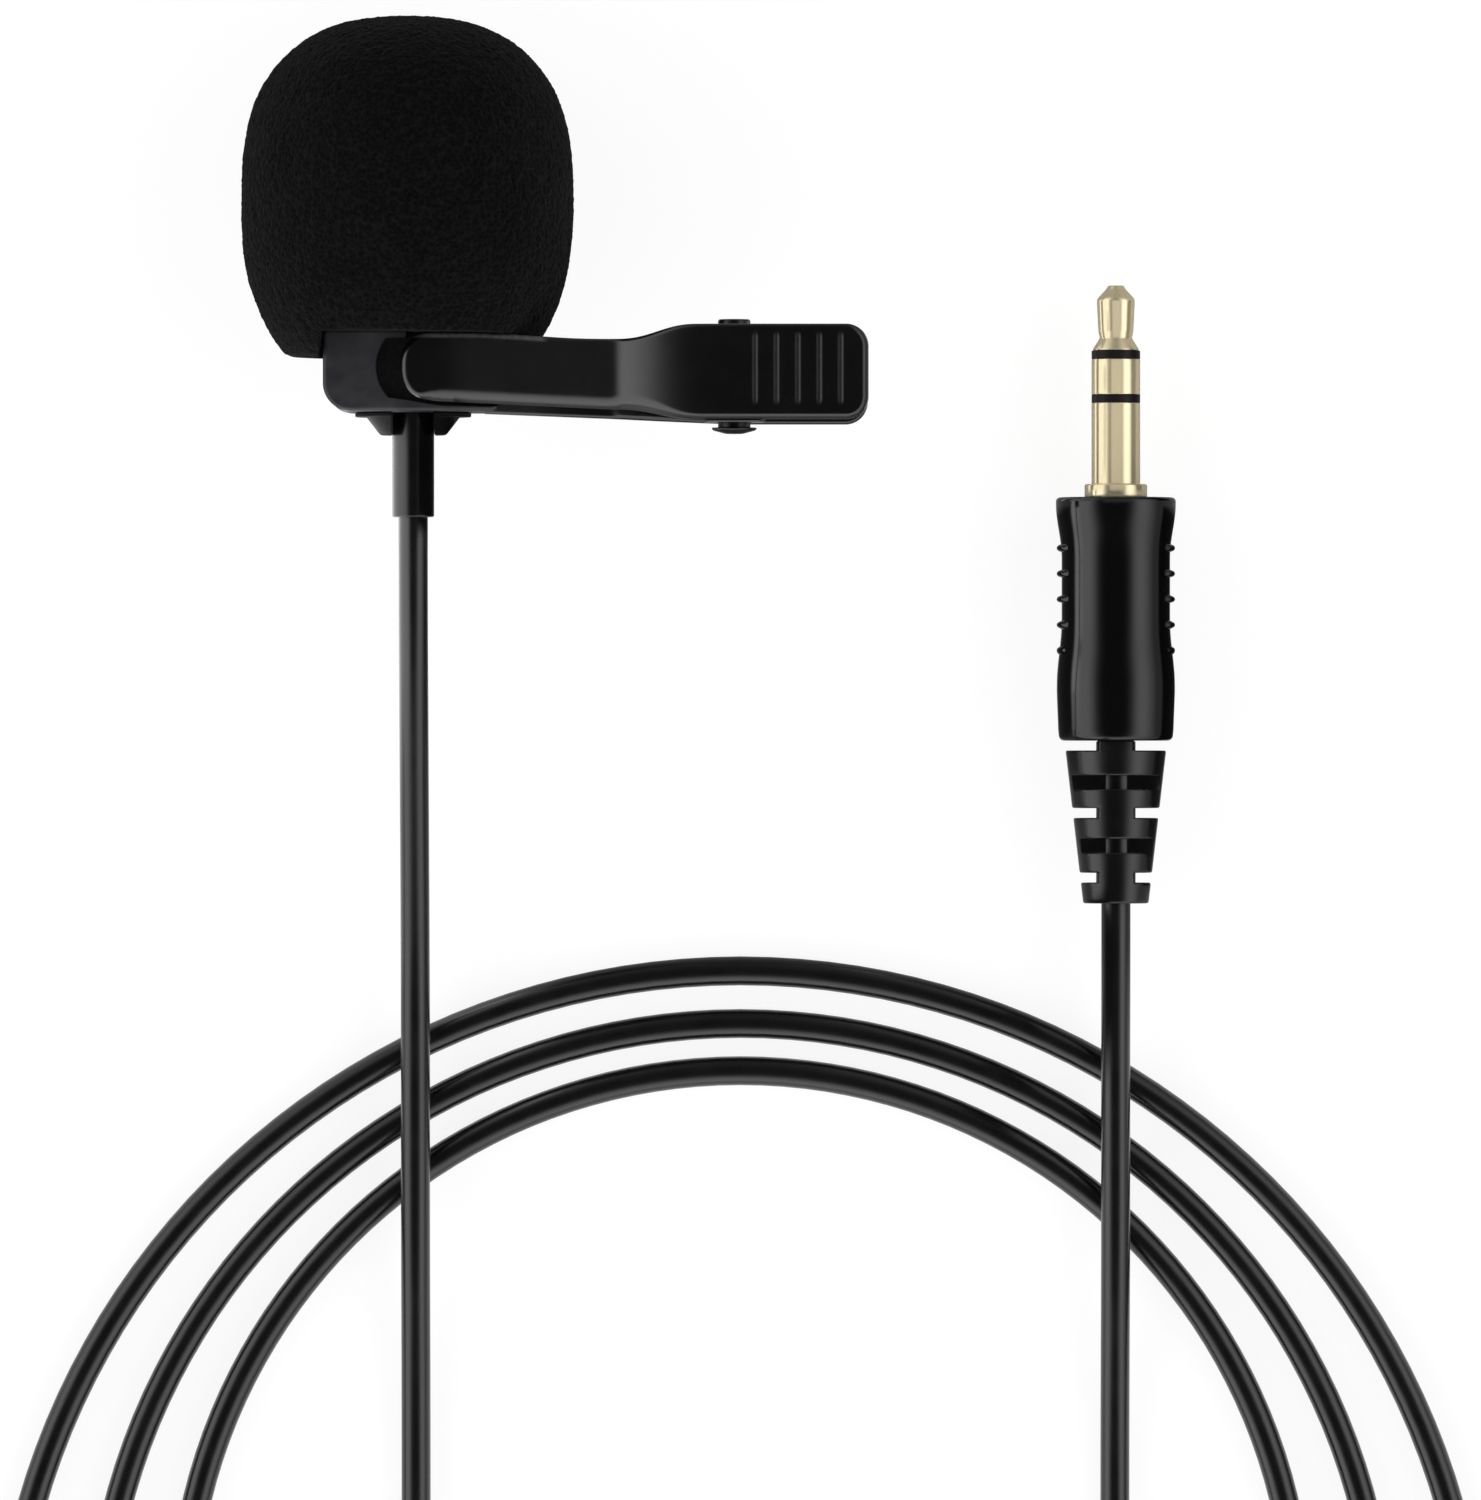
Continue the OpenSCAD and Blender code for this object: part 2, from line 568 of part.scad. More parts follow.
// Least gap between turns of a path: points at least half a turn apart, less the tube's width
function gap_of(p, skip, width) =
    min([for (i = [0:len(p) - 1]) for (j = [i + skip:1:len(p) - 1]) norm(p[i] - p[j])]) - width;
echo(coil_least_gap = gap_of(coil_path, 12, cable_d), over = 0.4);
echo(spring_least_gap = gap_of(curl_points, 5, 2 * spring_wire_r), over = 0.4);
function path_length(p) = len(p) < 2 ? 0 : [for (i = 0, s = 0; i < len(p); i = i + 1,
    s = s + (i < len(p) ? norm(p[i] - p[i - 1]) : 0)) s][len(p) - 1];
echo(cable_length = path_length(mic_route) + path_length(coil_path) + path_length(plug_route));

module cable_mic_run() { color(black_rubber) on_surface() sweep(mic_route, cable_r, 8); }
module cable_coil() { color(black_rubber) on_surface() sweep(coil_path, cable_r, 6); }
module cable_plug_run() { color(black_rubber) on_surface() sweep(plug_route, cable_r, 8); }

// ---- Plug ----

// Distances along the plug from its grip's front face
sleeve_foot = sleeve_flange_t;
sleeve_top = sleeve_foot + sleeve_l;
ring_bottom = sleeve_top + insulator_l;
ring_top = ring_bottom + ring_l;
tip_bottom = ring_top + insulator_l;
tip_top = tip_bottom + tip_l;
liner_r = contact_r - contact_wall - contact_gap;
ring_tube_r = liner_r - contact_wall - 2 * contact_gap;
lug_l = 4;

module plug_tip() {
    color(pale_gold) in_plug() {
        along_y(tip_bottom) rotate_extrude() polygon(concat(
            [[0, 0], [contact_r, 0], [contact_r - 0.1, 0.25], [tip_waist_r, 0.5],
                [tip_waist_r + 0.02, 0.9], [tip_head_r, tip_l - 1.0]],
            arc(0, tip_l - 1.0, tip_head_r, 20, 60, 3), [[0.55, tip_l], [0, tip_l]]));
        rod_y(-lug_l - 1, tip_bottom, rod_r);
    }
}
module tip_insulator() {
    color(black_plastic) in_plug() {
        tube_y(ring_top, tip_bottom, contact_r, rod_r + contact_gap);
        tube_y(-lug_l + 1, ring_top, ring_tube_r - contact_wall - contact_gap, rod_r + contact_gap);
    }
}
module plug_ring() {
    color(pale_gold) in_plug() {
        tube_y(ring_bottom, ring_top, contact_r, ring_tube_r - contact_wall);
        tube_y(-lug_l + 2, ring_bottom, ring_tube_r, ring_tube_r - contact_wall);
    }
}
module ring_insulator() {
    color(black_plastic) in_plug() {
        tube_y(sleeve_top, ring_bottom, contact_r, ring_tube_r + contact_gap);
        tube_y(0, sleeve_top, liner_r, ring_tube_r + contact_gap);
    }
}
module plug_sleeve() {
    color(pale_gold) in_plug() {
        tube_y(0, sleeve_top, contact_r, contact_r - contact_wall);
        tube_y(0, sleeve_flange_t, sleeve_flange_r, contact_r - contact_wall);
    }
}
module rear_insulator() {
    color(black_plastic) in_plug() tube_y(-0.8, -eps, hollow_r - 0.1, ring_tube_r + contact_gap);
}
module plug_lugs() {
    color(steel) in_plug() {
        translate([-0.6, -lug_l - 2.4, rod_r + contact_gap]) cube([1.2, 2.4, 0.3]);
        translate([ring_tube_r + contact_gap, -lug_l - 1, -0.6]) cube([0.3, 3.5, 1.2]);
        translate([-ring_tube_r - contact_gap - 0.3, -lug_l - 1, -0.6]) cube([0.3, 3.2, 1.2]);
    }
}
crimp_y = 3.2 - body_l;
module plug_wires() {
    color("#a03a30") in_plug() for (x = [-1, 0, 1]) translate([x * 0.65, 0, -0.2])
        rod_y(crimp_y, -lug_l - 2.6, wire_r);
}
module plug_crimp() {
    color(steel) in_plug() rod_y(1.6 - body_l, crimp_y, 1.5);
}

// Radius of the grip at distance s behind its front face: wide ends and a gentle waist
function grip_radius(s) = let (t = s / body_l)
    t < 0.27 ? mix(body_r, waist_r, ease(t / 0.27)) : t < 0.48 ? waist_r :
    t < 0.8 ? mix(waist_r, body_r - 0.07, ease((t - 0.48) / 0.32)) : mix(body_r - 0.07, body_r - 0.2, (t - 0.8) / 0.2);
grip_steps = 20;
module plug_grip() {
    color(black_plastic) in_plug() difference() {
        union() {
            along_y(-body_l) rotate_extrude() polygon(concat([[0, 0], [body_r - 0.5, 0]],
                [for (i = [0:grip_steps]) let (s = mix(body_l - 0.3, 0.3, i / grip_steps))
                    [grip_radius(s), body_l - s]], [[body_r - 0.3, body_l], [0, body_l]]));
            for (side = [0, 180]) for (i = [0:side_rib_count - 1]) let (s = 3.65 + side_rib_pitch * i)
                along_y(-s - side_rib_t / 2) rotate([0, 0, side - side_rib_arc / 2])
                    rotate_extrude(angle = side_rib_arc)
                        translate([waist_r - 0.4, 0]) square([body_r - 0.06 - waist_r + 0.4, side_rib_t]);
        }
        // Hollow that holds the solder lugs
        rod_y(1.6 - body_l, 1, hollow_r);
    }
}

module plug_strain_relief() {
    slots = [0, 2.5, 4.85, 7.05, 9.5];
    color(black_rubber) in_plug() translate([0, -body_l, 0]) difference() {
        along_y(-tail_relief_l) cylinder(h = tail_relief_l, r1 = tail_relief_end_r, r2 = tail_relief_r);
        for (i = [0:len(slots) - 1]) for (side = [-1, 1]) rotate([0, i % 2 == 0 ? 0 : 90, 0]) {
            slot_h = i % 2 == 0 ? side_slot_h : front_slot_h;
            translate([side > 0 ? web_half : -web_half - 5, -slots[i] - slot_h, -5])
                cube([5, slot_h + (i == 0 ? 1 : 0), 10]);
        }
    }
}

foam_windscreen();
grille_cap();
dust_screen();
capsule_can();
capsule_board();
capsule_sleeve();
mic_wires();
mic_barrel();
tail_plug();
cable_crimp();
mic_strain_relief();
holder_lever();
front_lever();
hinge_pin();
torsion_spring();
cable_mic_run();
cable_coil();
cable_plug_run();
plug_tip();
tip_insulator();
plug_ring();
ring_insulator();
plug_sleeve();
rear_insulator();
plug_lugs();
plug_wires();
plug_crimp();
plug_grip();
plug_strain_relief();
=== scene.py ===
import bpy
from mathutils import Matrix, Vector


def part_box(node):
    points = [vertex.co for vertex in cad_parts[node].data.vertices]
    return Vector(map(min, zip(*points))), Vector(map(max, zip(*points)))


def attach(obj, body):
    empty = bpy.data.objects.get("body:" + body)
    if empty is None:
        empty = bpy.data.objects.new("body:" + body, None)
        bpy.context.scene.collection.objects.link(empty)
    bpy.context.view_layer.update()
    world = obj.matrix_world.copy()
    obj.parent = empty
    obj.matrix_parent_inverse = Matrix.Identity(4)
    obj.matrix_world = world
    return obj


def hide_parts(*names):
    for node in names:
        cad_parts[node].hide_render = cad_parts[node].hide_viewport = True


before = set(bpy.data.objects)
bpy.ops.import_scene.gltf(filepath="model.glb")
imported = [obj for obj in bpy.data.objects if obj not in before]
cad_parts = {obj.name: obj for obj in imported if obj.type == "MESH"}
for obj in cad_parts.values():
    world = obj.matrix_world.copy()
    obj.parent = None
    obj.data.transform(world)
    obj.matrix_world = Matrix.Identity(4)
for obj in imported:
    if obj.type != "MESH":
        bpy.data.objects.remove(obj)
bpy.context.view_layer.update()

from types import SimpleNamespace

import bmesh
import bpy
import numpy as np
from bpy.props import FloatProperty, FloatVectorProperty, IntProperty, PointerProperty
from bpy.types import Operator, Panel, PropertyGroup

bl_info = {
    "name": "Lavalier Microphone",
    "version": (1, 0, 0),
    "blender": (4, 5, 0),
    "location": "View3D > Sidebar > Lavalier",
    "description": "Builds a clip-on microphone with its foam, clip, coiled cable and plug",
    "category": "Add Mesh",
}

MM = 0.001

SHARP_ANGLE = 32.0   # degrees between faces from which an edge is sharp
SAME_PLACE = 2e-6    # metres within which vertices are joined
TURNED_SIDES = 96    # sides of a turned piece, where nothing else is said
FIT = 0.02           # millimetres between parts of the microphone that fit into each other


# ---- Places taken from the frame, in millimetres ----

def node_box(name):
    """Lowest and highest corner of a node of the frame, in millimetres."""
    low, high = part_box(name)
    return np.array(low) / MM, np.array(high) / MM


BARREL_LOW, BARREL_HIGH = node_box("mic_barrel")
SLEEVE_LOW, SLEEVE_HIGH = node_box("plug_sleeve")


# ---- Sizes and colours ----

def size(name, description, value):
    """A length in millimetres."""
    return FloatProperty(name=name, description=description, default=value * MM, unit="LENGTH", precision=5)


def share(name, description, value):
    """A part of a whole, from 0 to 1."""
    return FloatProperty(name=name, description=description, default=value, min=0.0, max=1.0, subtype="FACTOR")


def tone(name, description, value):
    """A colour."""
    return FloatVectorProperty(name=name, description=description, default=value, size=3, min=0.0, max=1.0,
                               subtype="COLOR")


def count(name, description, value):
    """A number of things."""
    return IntProperty(name=name, description=description, default=value, min=1)


class MicrophoneSizes(PropertyGroup):
    barrel_r: size("Barrel radius", "Outer radius of the microphone's barrel", 3.7)
    barrel_wall: size("Barrel wall", "Wall of the barrel", 0.35)
    barrel_top: size("Barrel top", "Height of the barrel above the block's middle", 12.5)
    flange_r: size("Flange radius", "Radius of the flange under the holder block", 4.15)
    flange_top: size("Flange top", "Height of the flange's top", -2.975)
    flange_t: size("Flange thickness", "Thickness of the flange", 0.3)
    cone_l: size("Cone length", "Length of the two jaws under the flange", 1.3)
    cone_r: size("Cone radius", "Radius of the jaws where they leave the flange", 3.35)
    cone_foot_r: size("Cone foot radius", "Radius of the jaws at their foot", 2.35)
    tail_l: size("Tail length", "Length of the tail plug inside the barrel", 1.9)
    relief_r: size("Relief radius", "Radius of the strain relief", 1.5)
    relief_low: size("Relief end", "Height of the strain relief's lower end", -10.425)
    relief_high: size("Relief top", "Height of the strain relief's upper end", 0.125)


class FoamSizes(PropertyGroup):
    radius: size("Radius", "Largest radius of the foam", 11.85)
    up: size("Height above", "Height of the foam above its widest level", 12.75)
    down: size("Height below", "Height of the full curve below the widest level", 14.5)
    cut: size("Cut", "How far below the widest level the foam is cut off", 11.55)
    level: size("Level", "Height of the widest level above the block's middle", 12.575)
    lean: size("Lean", "How far the ball leans to the left", 0.4)
    rest: size("Rest", "Height of the microphone's axis above the surface", 11.5)
    power: FloatProperty(name="Roundness", description="2 is an ellipse, more is squarer", default=2.5)
    bore_r: size("Bore radius", "Radius of the hole for the microphone", 3.82)
    bore_top: size("Bore top", "Height of the hole's end", 13.42)
    pore: size("Pore depth", "How rough the foam's skin is", 0.1)
    grain: size("Pore width", "Width of one pore", 0.36)


class ClipSizes(PropertyGroup):
    block_left: size("Block left", "Distance from the axis to the block's left face", 6.35)
    block_right: size("Block right", "Distance from the axis to the block's right face", 6.15)
    block_h: size("Block height", "Height of the block along the microphone", 5.85)
    block_d: size("Block depth", "Depth of the block, front to back", 10.0)
    block_corner: size("Block corner", "Radius of the block's lower left corner", 2.0)
    bore_r: size("Bore radius", "Radius of the block's bore", 3.75)
    pocket_r: size("Pocket radius", "Radius of the pocket for the tongue", 3.15)
    pocket_room: size("Pocket room", "How far the pocket reaches past the tongue's end", 1.75)
    pocket_y: size("Pocket height", "Height of the pocket's middle", 0.25)
    pocket_top: size("Pocket top", "Height of the pocket's upper edge", 2.3)
    pocket_low: size("Pocket bottom", "How far the pocket reaches below the axis", 2.6)
    pocket_z: size("Pocket floor", "Height of the pocket's floor above the axis", 4.35)
    drop: size("Drop", "How far the levers' middle lies below the block's middle", 0.3)
    reach: size("Reach", "Distance from the axis to the clip's right end", 32.5)
    tongue_half: size("Tongue half", "Half height of the levers at the tongue", 2.95)
    tongue_low: size("Tongue low", "Depth of the tongue below the levers' middle", 1.85)
    tongue_tip: size("Tongue tip", "Where the tongue's round end starts", -0.8)
    fall_start: size("Fall start", "Where the upper edge starts to fall towards the arm", 2.5)
    arm_half: size("Arm half", "Half height at the narrowest point of the arm", 2.48)
    arm_low: size("Arm low", "Depth of the front arm below the levers' middle where it starts to flare", 2.55)
    back_low: size("Back low", "Depth of the back arm below the levers' middle at the block", 2.6)
    grip_half: size("Grip half", "Half height of the grip", 3.5)
    grip_low: size("Grip low", "Depth of the front grip below the levers' middle", 3.25)
    grip_corner: size("Grip corner", "Radius of the grip's corners", 1.6)
    flare_start: size("Flare start", "Where the levers start to flare", 14.5)
    flare_end: size("Flare end", "Where the flare ends", 22.9)
    flare_rise: size("Flare rise", "How far each lever spreads outwards", 2.5)
    crease: size("Crease", "Half length of the soft bend where the flare starts", 0.6)
    jaw_z: size("Jaw", "Height of the front lever's inner face", 4.4)
    front_t: size("Front thickness", "Thickness of the front lever", 1.75)
    back_t: size("Back thickness", "Thickness of the back lever", 1.6)
    arm_gap: size("Arm gap", "Gap between the two levers' arms", 1.0)
    edge: size("Edge radius", "Radius of the moulded edges", 0.3)
    end_edge: size("End radius", "Radius of the edge round the front lever's ends", 0.55)
    bevel_w: size("Bevel width", "Width of the front arm's lower bevel", 1.1)
    bevel_d: size("Bevel depth", "Depth of the front arm's lower bevel", 0.72)
    grip_bevel: size("Grip bevel", "Width and depth of that bevel on the grip", 0.42)
    rib_count: count("Ribs", "Number of ribs across the grip", 5)
    rib_pitch: size("Rib pitch", "Distance from one rib to the next", 1.52)
    rib_h: size("Rib height", "Height of one rib", 0.065)
    rib_w: size("Rib half width", "Half width of one rib", 0.28)
    rib_top: size("Rib top", "Where the ribs end above the levers' middle", 3.0)
    rib_low: size("Rib bottom", "Where the ribs end below the levers' middle", 2.3)
    tooth_count: count("Teeth", "Number of jaw teeth on each lever", 5)
    tooth_pitch: size("Tooth pitch", "Distance from one tooth to the next", 1.2)
    tooth_h: size("Tooth height", "Height of one tooth", 0.4)
    ear_r: size("Ear radius", "Radius of the ears round the pin", 2.2)
    ear_t: size("Ear thickness", "Thickness of one ear", 0.8)
    ear_gap: size("Ear gap", "Gap between the levers' ears", 0.1)
    pin_x: size("Pin place", "Distance from the axis to the hinge pin", 22.95)
    pin_z: size("Pin height", "Height of the pin above the axis", 3.9)
    pin_r: size("Pin radius", "Radius of the hinge pin", 1.15)
    pin_low: size("Pin foot", "Lower end of the pin's shank", -4.1)
    pin_high: size("Pin end", "Upper end of the pin's shank", 3.62)
    head_r: size("Pin head radius", "Radius of the pin's domed head", 1.65)
    head_t: size("Pin head thickness", "Thickness of the pin's head", 0.45)
    wire_r: size("Spring wire radius", "Radius of the spring's wire", 0.2)
    curl_r: size("Curl radius", "Radius of the spring's curls", 1.6)
    curl_pitch: size("Curl pitch", "Distance from one curl to the next", 0.85)
    curls: count("Curls", "Number of whole curls in the spring", 2)
    leg: size("Spring leg", "Length of each spring leg", 6.0)


class CableSizes(PropertyGroup):
    diameter: size("Diameter", "Diameter of the cable", 2.1)
    length: size("Length", "Real length of the cable", 1140.0)
    loop_x: size("Loop place", "Distance from the microphone's axis to the loops' centre", 23.4)
    way_in_r: size("First bend", "Radius at which the cable turns into the loops", 23.4)
    end_y: size("Loops' end", "Where the cable leaves the outer loop", -149.4)
    sides: count("Sides", "Number of sides of the tube", 28)


class PlugSizes(PropertyGroup):
    contact_r: size("Contact radius", "Radius of the contacts", 1.75)
    flange_r: size("Flange radius", "Radius of the flange at the sleeve's foot", 2.25)
    flange_t: size("Flange thickness", "Thickness of that flange", 0.95)
    sleeve_l: size("Sleeve length", "Length of the sleeve contact", 5.85)
    band_l: size("Band length", "Length of one black band", 0.6)
    ring_l: size("Ring length", "Length of the ring contact", 2.55)
    tip_l: size("Tip length", "Length of the tip contact", 4.7)
    head_r: size("Tip head radius", "Largest radius of the tip's head", 1.375)
    waist_r: size("Tip waist radius", "Radius of the waist behind the head", 1.165)
    rod_r: size("Rod radius", "Radius of the rod that carries the tip", 0.6)
    wall: size("Contact wall", "Wall of the contact tubes", 0.25)
    gap: size("Contact gap", "Gap between contacts and insulators", 0.02)
    grip_l: size("Grip length", "Length of the grip", 17.5)
    grip_r: size("Grip radius", "Radius of the grip at its ends", 4.32)
    grip_waist: size("Grip waist", "Radius of the grip at its waist", 3.9)
    hollow_r: size("Hollow radius", "Radius of the hollow in the grip", 2.6)
    rib_count: count("Side ribs", "Number of small ribs on each side", 5)
    rib_first: size("First rib", "Distance from the front face to the first rib", 3.65)
    rib_pitch: size("Side rib pitch", "Distance from one side rib to the next", 1.84)
    rib_w: size("Side rib half width", "Half width of one side rib", 0.26)
    rib_r: size("Side rib radius", "Radius that the side ribs reach", 4.26)
    relief_l: size("Relief length", "Length of the strain relief", 11.7)
    relief_r: size("Relief radius", "Radius where the strain relief starts", 3.7)
    relief_end_r: size("Relief end radius", "Radius where the strain relief ends", 2.35)
    side_slot_h: size("Side slot", "Height of the slots that open to the sides of the strain relief", 0.7)
    front_slot_h: size("Front slot", "Height of the slots that open to its front and back", 1.0)
    web_half: size("Web", "Half width of the web that each slot leaves", 1.2)


class FinishColours(PropertyGroup):
    foam: tone("Foam", "Colour of the foam", (0.0032, 0.0032, 0.0035))
    jacket: tone("Cable jacket", "Colour of the cable", (0.0025, 0.0025, 0.0026))
    rubber: tone("Relief rubber", "Colour of the strain reliefs", (0.0022, 0.0022, 0.0023))
    satin: tone("Satin plastic", "Colour of the levers", (0.0016, 0.0016, 0.0019))
    # Painted highlight: the pale tone of the front lever's painted light line, arm face and rib crests, and of
    # the back lever's painted lighter band next to the block
    painted_light_tone: tone("Worn plastic", "Colour of the levers where they are rubbed", (0.1, 0.1, 0.107))
    block: tone("Block plastic", "Colour of the holder block", (0.03, 0.03, 0.034))
    # Painted shade: the dark tone that the block goes towards inside the tongue's pocket
    pocket: tone("Pocket", "Colour of the block inside the tongue's pocket", (0.0012, 0.0012, 0.0016))
    tail: tone("Tail plastic", "Colour of the flange and the jaws under the block", (0.004, 0.004, 0.0045))
    gloss: tone("Gloss plastic", "Colour of the plug's grip", (0.001, 0.001, 0.001))
    gold: tone("Gold", "Colour of the contacts", (0.86, 0.74, 0.48))
    steel: tone("Steel", "Colour of bare steel", (0.56, 0.56, 0.57))
    black_steel: tone("Blackened steel", "Colour of the pin and the barrel", (0.003, 0.003, 0.0035))
    band: tone("Band", "Colour of the insulating bands", (0.004, 0.0028, 0.0026))
    board: tone("Board", "Colour of the circuit board", (0.02, 0.12, 0.045))
    wire: tone("Wire", "Colour of the inner wires", (0.35, 0.035, 0.025))


class StageSettings(PropertyGroup):
    camera_z: size("Camera height", "Height of the camera above the surface", 1188.0)
    camera_x: size("Camera x", "Place of the camera across", 13.275)
    camera_y: size("Camera y", "Place of the camera along", -34.52)
    focal: FloatProperty(name="Focal length", description="Focal length of the camera's lens", default=400.0,
                         unit="CAMERA")
    floor_side: size("Floor", "Side of the floor", 6000.0)
    floor_share: share("Floor glow", "How much of the floor's brightness is its own", 0.72)
    floor_white: FloatProperty(name="Floor white", description="Strength of the floor's glow", default=1.2)
    floor_mirrored: share("Floor mirrored", "Strength of the floor's glow in reflections", 0.25)


GROUPS = {
    "lav_microphone": MicrophoneSizes,
    "lav_foam": FoamSizes,
    "lav_clip": ClipSizes,
    "lav_cable": CableSizes,
    "lav_plug": PlugSizes,
    "lav_colours": FinishColours,
    "lav_stage": StageSettings,
}


def read(name):
    """The values of one property group, with lengths in millimetres and colours as tuples."""
    group = getattr(bpy.context.scene, name)
    values = {}
    for key in group.bl_rna.properties.keys():
        if key in ("rna_type", "name"):
            continue
        prop, value = group.bl_rna.properties[key], getattr(group, key)
        if getattr(prop, "unit", "NONE") == "LENGTH":
            value = round(value / MM, 4)
        elif prop.type == "FLOAT" and getattr(prop, "is_array", False):
            value = tuple(value)
        values[key] = value
    return SimpleNamespace(**values)


# ---- Shapes ----

def ease(t):
    """Goes from 0 to 1 with no slope or bend at either end."""
    t = np.clip(t, 0.0, 1.0)
    return t ** 3 * (t * (6 * t - 15) + 10)


def round_off(corners, radii, steps=6, closed=False):
    """Rounds a polyline's corners: each corner becomes a true arc, written as a rational quadratic curve
    from one tangent point to the other with the cosine of half the turn as the corner's weight."""
    p = np.asarray(corners, float)
    r = np.broadcast_to(np.asarray(radii, float), len(p)).astype(float).copy()
    before, after = np.roll(p, 1, 0), np.roll(p, -1, 0)
    if not closed:
        r[0] = r[-1] = 0.0
        before[0], after[-1] = p[0] - (p[1] - p[0]), p[-1] + (p[-1] - p[-2])
    u, v = before - p, after - p
    lu, lv = np.linalg.norm(u, axis=1), np.linalg.norm(v, axis=1)
    u, v = u / lu[:, None], v / lv[:, None]
    half = np.arccos(np.clip((u * v).sum(1), -1, 1)) / 2
    cut = np.minimum(r / np.maximum(np.tan(half), 1e-9), 0.499 * np.minimum(lu, lv))
    cut = np.where(half > np.pi / 2 - 1e-4, 0.0, cut)
    start, end, w = p + u * cut[:, None], p + v * cut[:, None], np.sin(half)
    t = np.linspace(0, 1, steps + 1)[None, :, None]
    a, b, c = (1 - t) ** 2, 2 * t * (1 - t) * w[:, None, None], t ** 2
    arcs = (a * start[:, None] + b * p[:, None] + c * end[:, None]) / (a + b + c)
    line = arcs.reshape(-1, p.shape[1])
    keep = np.ones(len(line), bool)
    keep[1:] = np.linalg.norm(np.diff(line, axis=0), axis=1) > 1e-5
    if closed and np.linalg.norm(line[0] - line[-1]) < 1e-5:
        keep[-1] = False
    return line[keep]


def finer(line, step):
    """The same polyline with its long pieces cut so that none is longer than step."""
    line = np.asarray(line, float)
    gaps = np.linalg.norm(np.diff(line, axis=0), axis=1)
    parts = np.maximum(1, np.ceil(gaps / step).astype(int))
    index = np.repeat(np.arange(len(gaps)), parts)
    within = np.arange(parts.sum()) - np.repeat(np.cumsum(parts) - parts, parts)
    t = (within / parts[index])[:, None]
    return np.vstack([line[index] * (1 - t) + line[index + 1] * t, line[-1:]])


def turned(profile, sides, squeeze=None):
    """Rings of a turned shape: each profile point (radius, along) goes round the y axis.
    squeeze, if given, changes the radii by a function of (radius, along, angle)."""
    profile = np.asarray(profile, float)
    angle = np.arange(sides) * 2 * np.pi / sides
    r, y = profile[:, :1], np.repeat(profile[:, 1:2], sides, axis=1)
    r = np.repeat(r, sides, axis=1)
    if squeeze is not None:
        r = squeeze(r, y, angle[None, :])
    return np.stack([r * np.cos(angle), y, r * np.sin(angle)], axis=-1)


def carried(path, radius, sides, up):
    """Rings of a tube: a circle carried along a path, square to it, with its top towards up."""
    path = np.asarray(path, float)
    along = np.gradient(path, axis=0)
    along /= np.linalg.norm(along, axis=1)[:, None]
    side = np.cross(along, up)
    side /= np.linalg.norm(side, axis=1)[:, None]
    top = np.cross(side, along)
    angle = np.arange(sides) * 2 * np.pi / sides
    radius = np.broadcast_to(np.asarray(radius, float), len(path))[:, None, None]
    return path[:, None] + radius * (np.cos(angle)[None, :, None] * side[:, None]
                                     + np.sin(angle)[None, :, None] * top[:, None])


def smooth_path(points, pieces):
    """Smooth curve through points: cubic pieces whose slopes at each point are the two neighbouring
    chords' slopes, weighted so that the nearer neighbour counts more."""
    p = np.asarray(points, float)
    h = np.linalg.norm(np.diff(p, axis=0), axis=1)
    chord = np.diff(p, axis=0) / h[:, None]
    slope = np.empty_like(p)
    slope[1:-1] = (chord[:-1] * h[1:, None] + chord[1:] * h[:-1, None]) / (h[:-1] + h[1:])[:, None]
    slope[0], slope[-1] = chord[0], chord[-1]
    t = np.arange(pieces)[None, :, None] / pieces
    a, b, hh = p[:-1, None], p[1:, None], h[:, None, None]
    curve = ((2 * t ** 3 - 3 * t ** 2 + 1) * a + (t ** 3 - 2 * t ** 2 + t) * hh * slope[:-1, None]
             + (3 * t ** 2 - 2 * t ** 3) * b + (t ** 3 - t ** 2) * hh * slope[1:, None])
    return np.vstack([curve.reshape(-1, 3), p[-1:]])


def ring_faces(rows, cols, loop=False):
    """Four-sided faces between neighbouring rings; loop joins the last ring to the first."""
    i, j = np.meshgrid(np.arange(rows if loop else rows - 1), np.arange(cols), indexing="ij")
    k, m = (i + 1) % rows, (j + 1) % cols
    return np.stack([i * cols + j, i * cols + m, k * cols + m, k * cols + j], axis=-1).reshape(-1, 4)


def closed_tube(rings):
    """Vertices and faces of rings with a fan over each end."""
    rows, cols = rings.shape[:2]
    verts = np.vstack([rings.reshape(-1, 3), rings[0].mean(0), rings[-1].mean(0)])
    j = np.arange(cols)
    m, first, last, low, high = (j + 1) % cols, rows * cols, rows * cols + 1, 0, (rows - 1) * cols
    fans = np.vstack([np.stack([np.full(cols, first), low + m, low + j], axis=1),
                      np.stack([np.full(cols, last), high + j, high + m], axis=1)])
    return verts, [ring_faces(rows, cols), fans]


def flat_ended(rings):
    """Vertices and faces of rings with one flat face over each end, for outlines that bend inwards."""
    rows, cols = rings.shape[:2]
    j = np.arange(cols)[None]
    return rings.reshape(-1, 3), [ring_faces(rows, cols), j[:, ::-1], (rows - 1) * cols + j]


def closed_loop(rings):
    """Vertices and faces of rings that come back to the first one, as for a tube with a bore."""
    return rings.reshape(-1, 3), [ring_faces(rings.shape[0], rings.shape[1], loop=True)]


def grid_patch(points):
    """Vertices and faces of one open grid."""
    rows, cols = points.shape[:2]
    i, j = np.meshgrid(np.arange(rows - 1), np.arange(cols - 1), indexing="ij")
    a = i * cols + j
    return points.reshape(-1, 3), [np.stack([a, a + 1, a + cols + 1, a + cols], axis=-1).reshape(-1, 4)]


def together(*shapes):
    """Several shapes as one list of vertices and faces."""
    verts, faces, start = [], [], 0
    for v, fs in shapes:
        verts.append(v)
        faces += [f + start for f in fs]
        start += len(v)
    return np.vstack(verts), faces


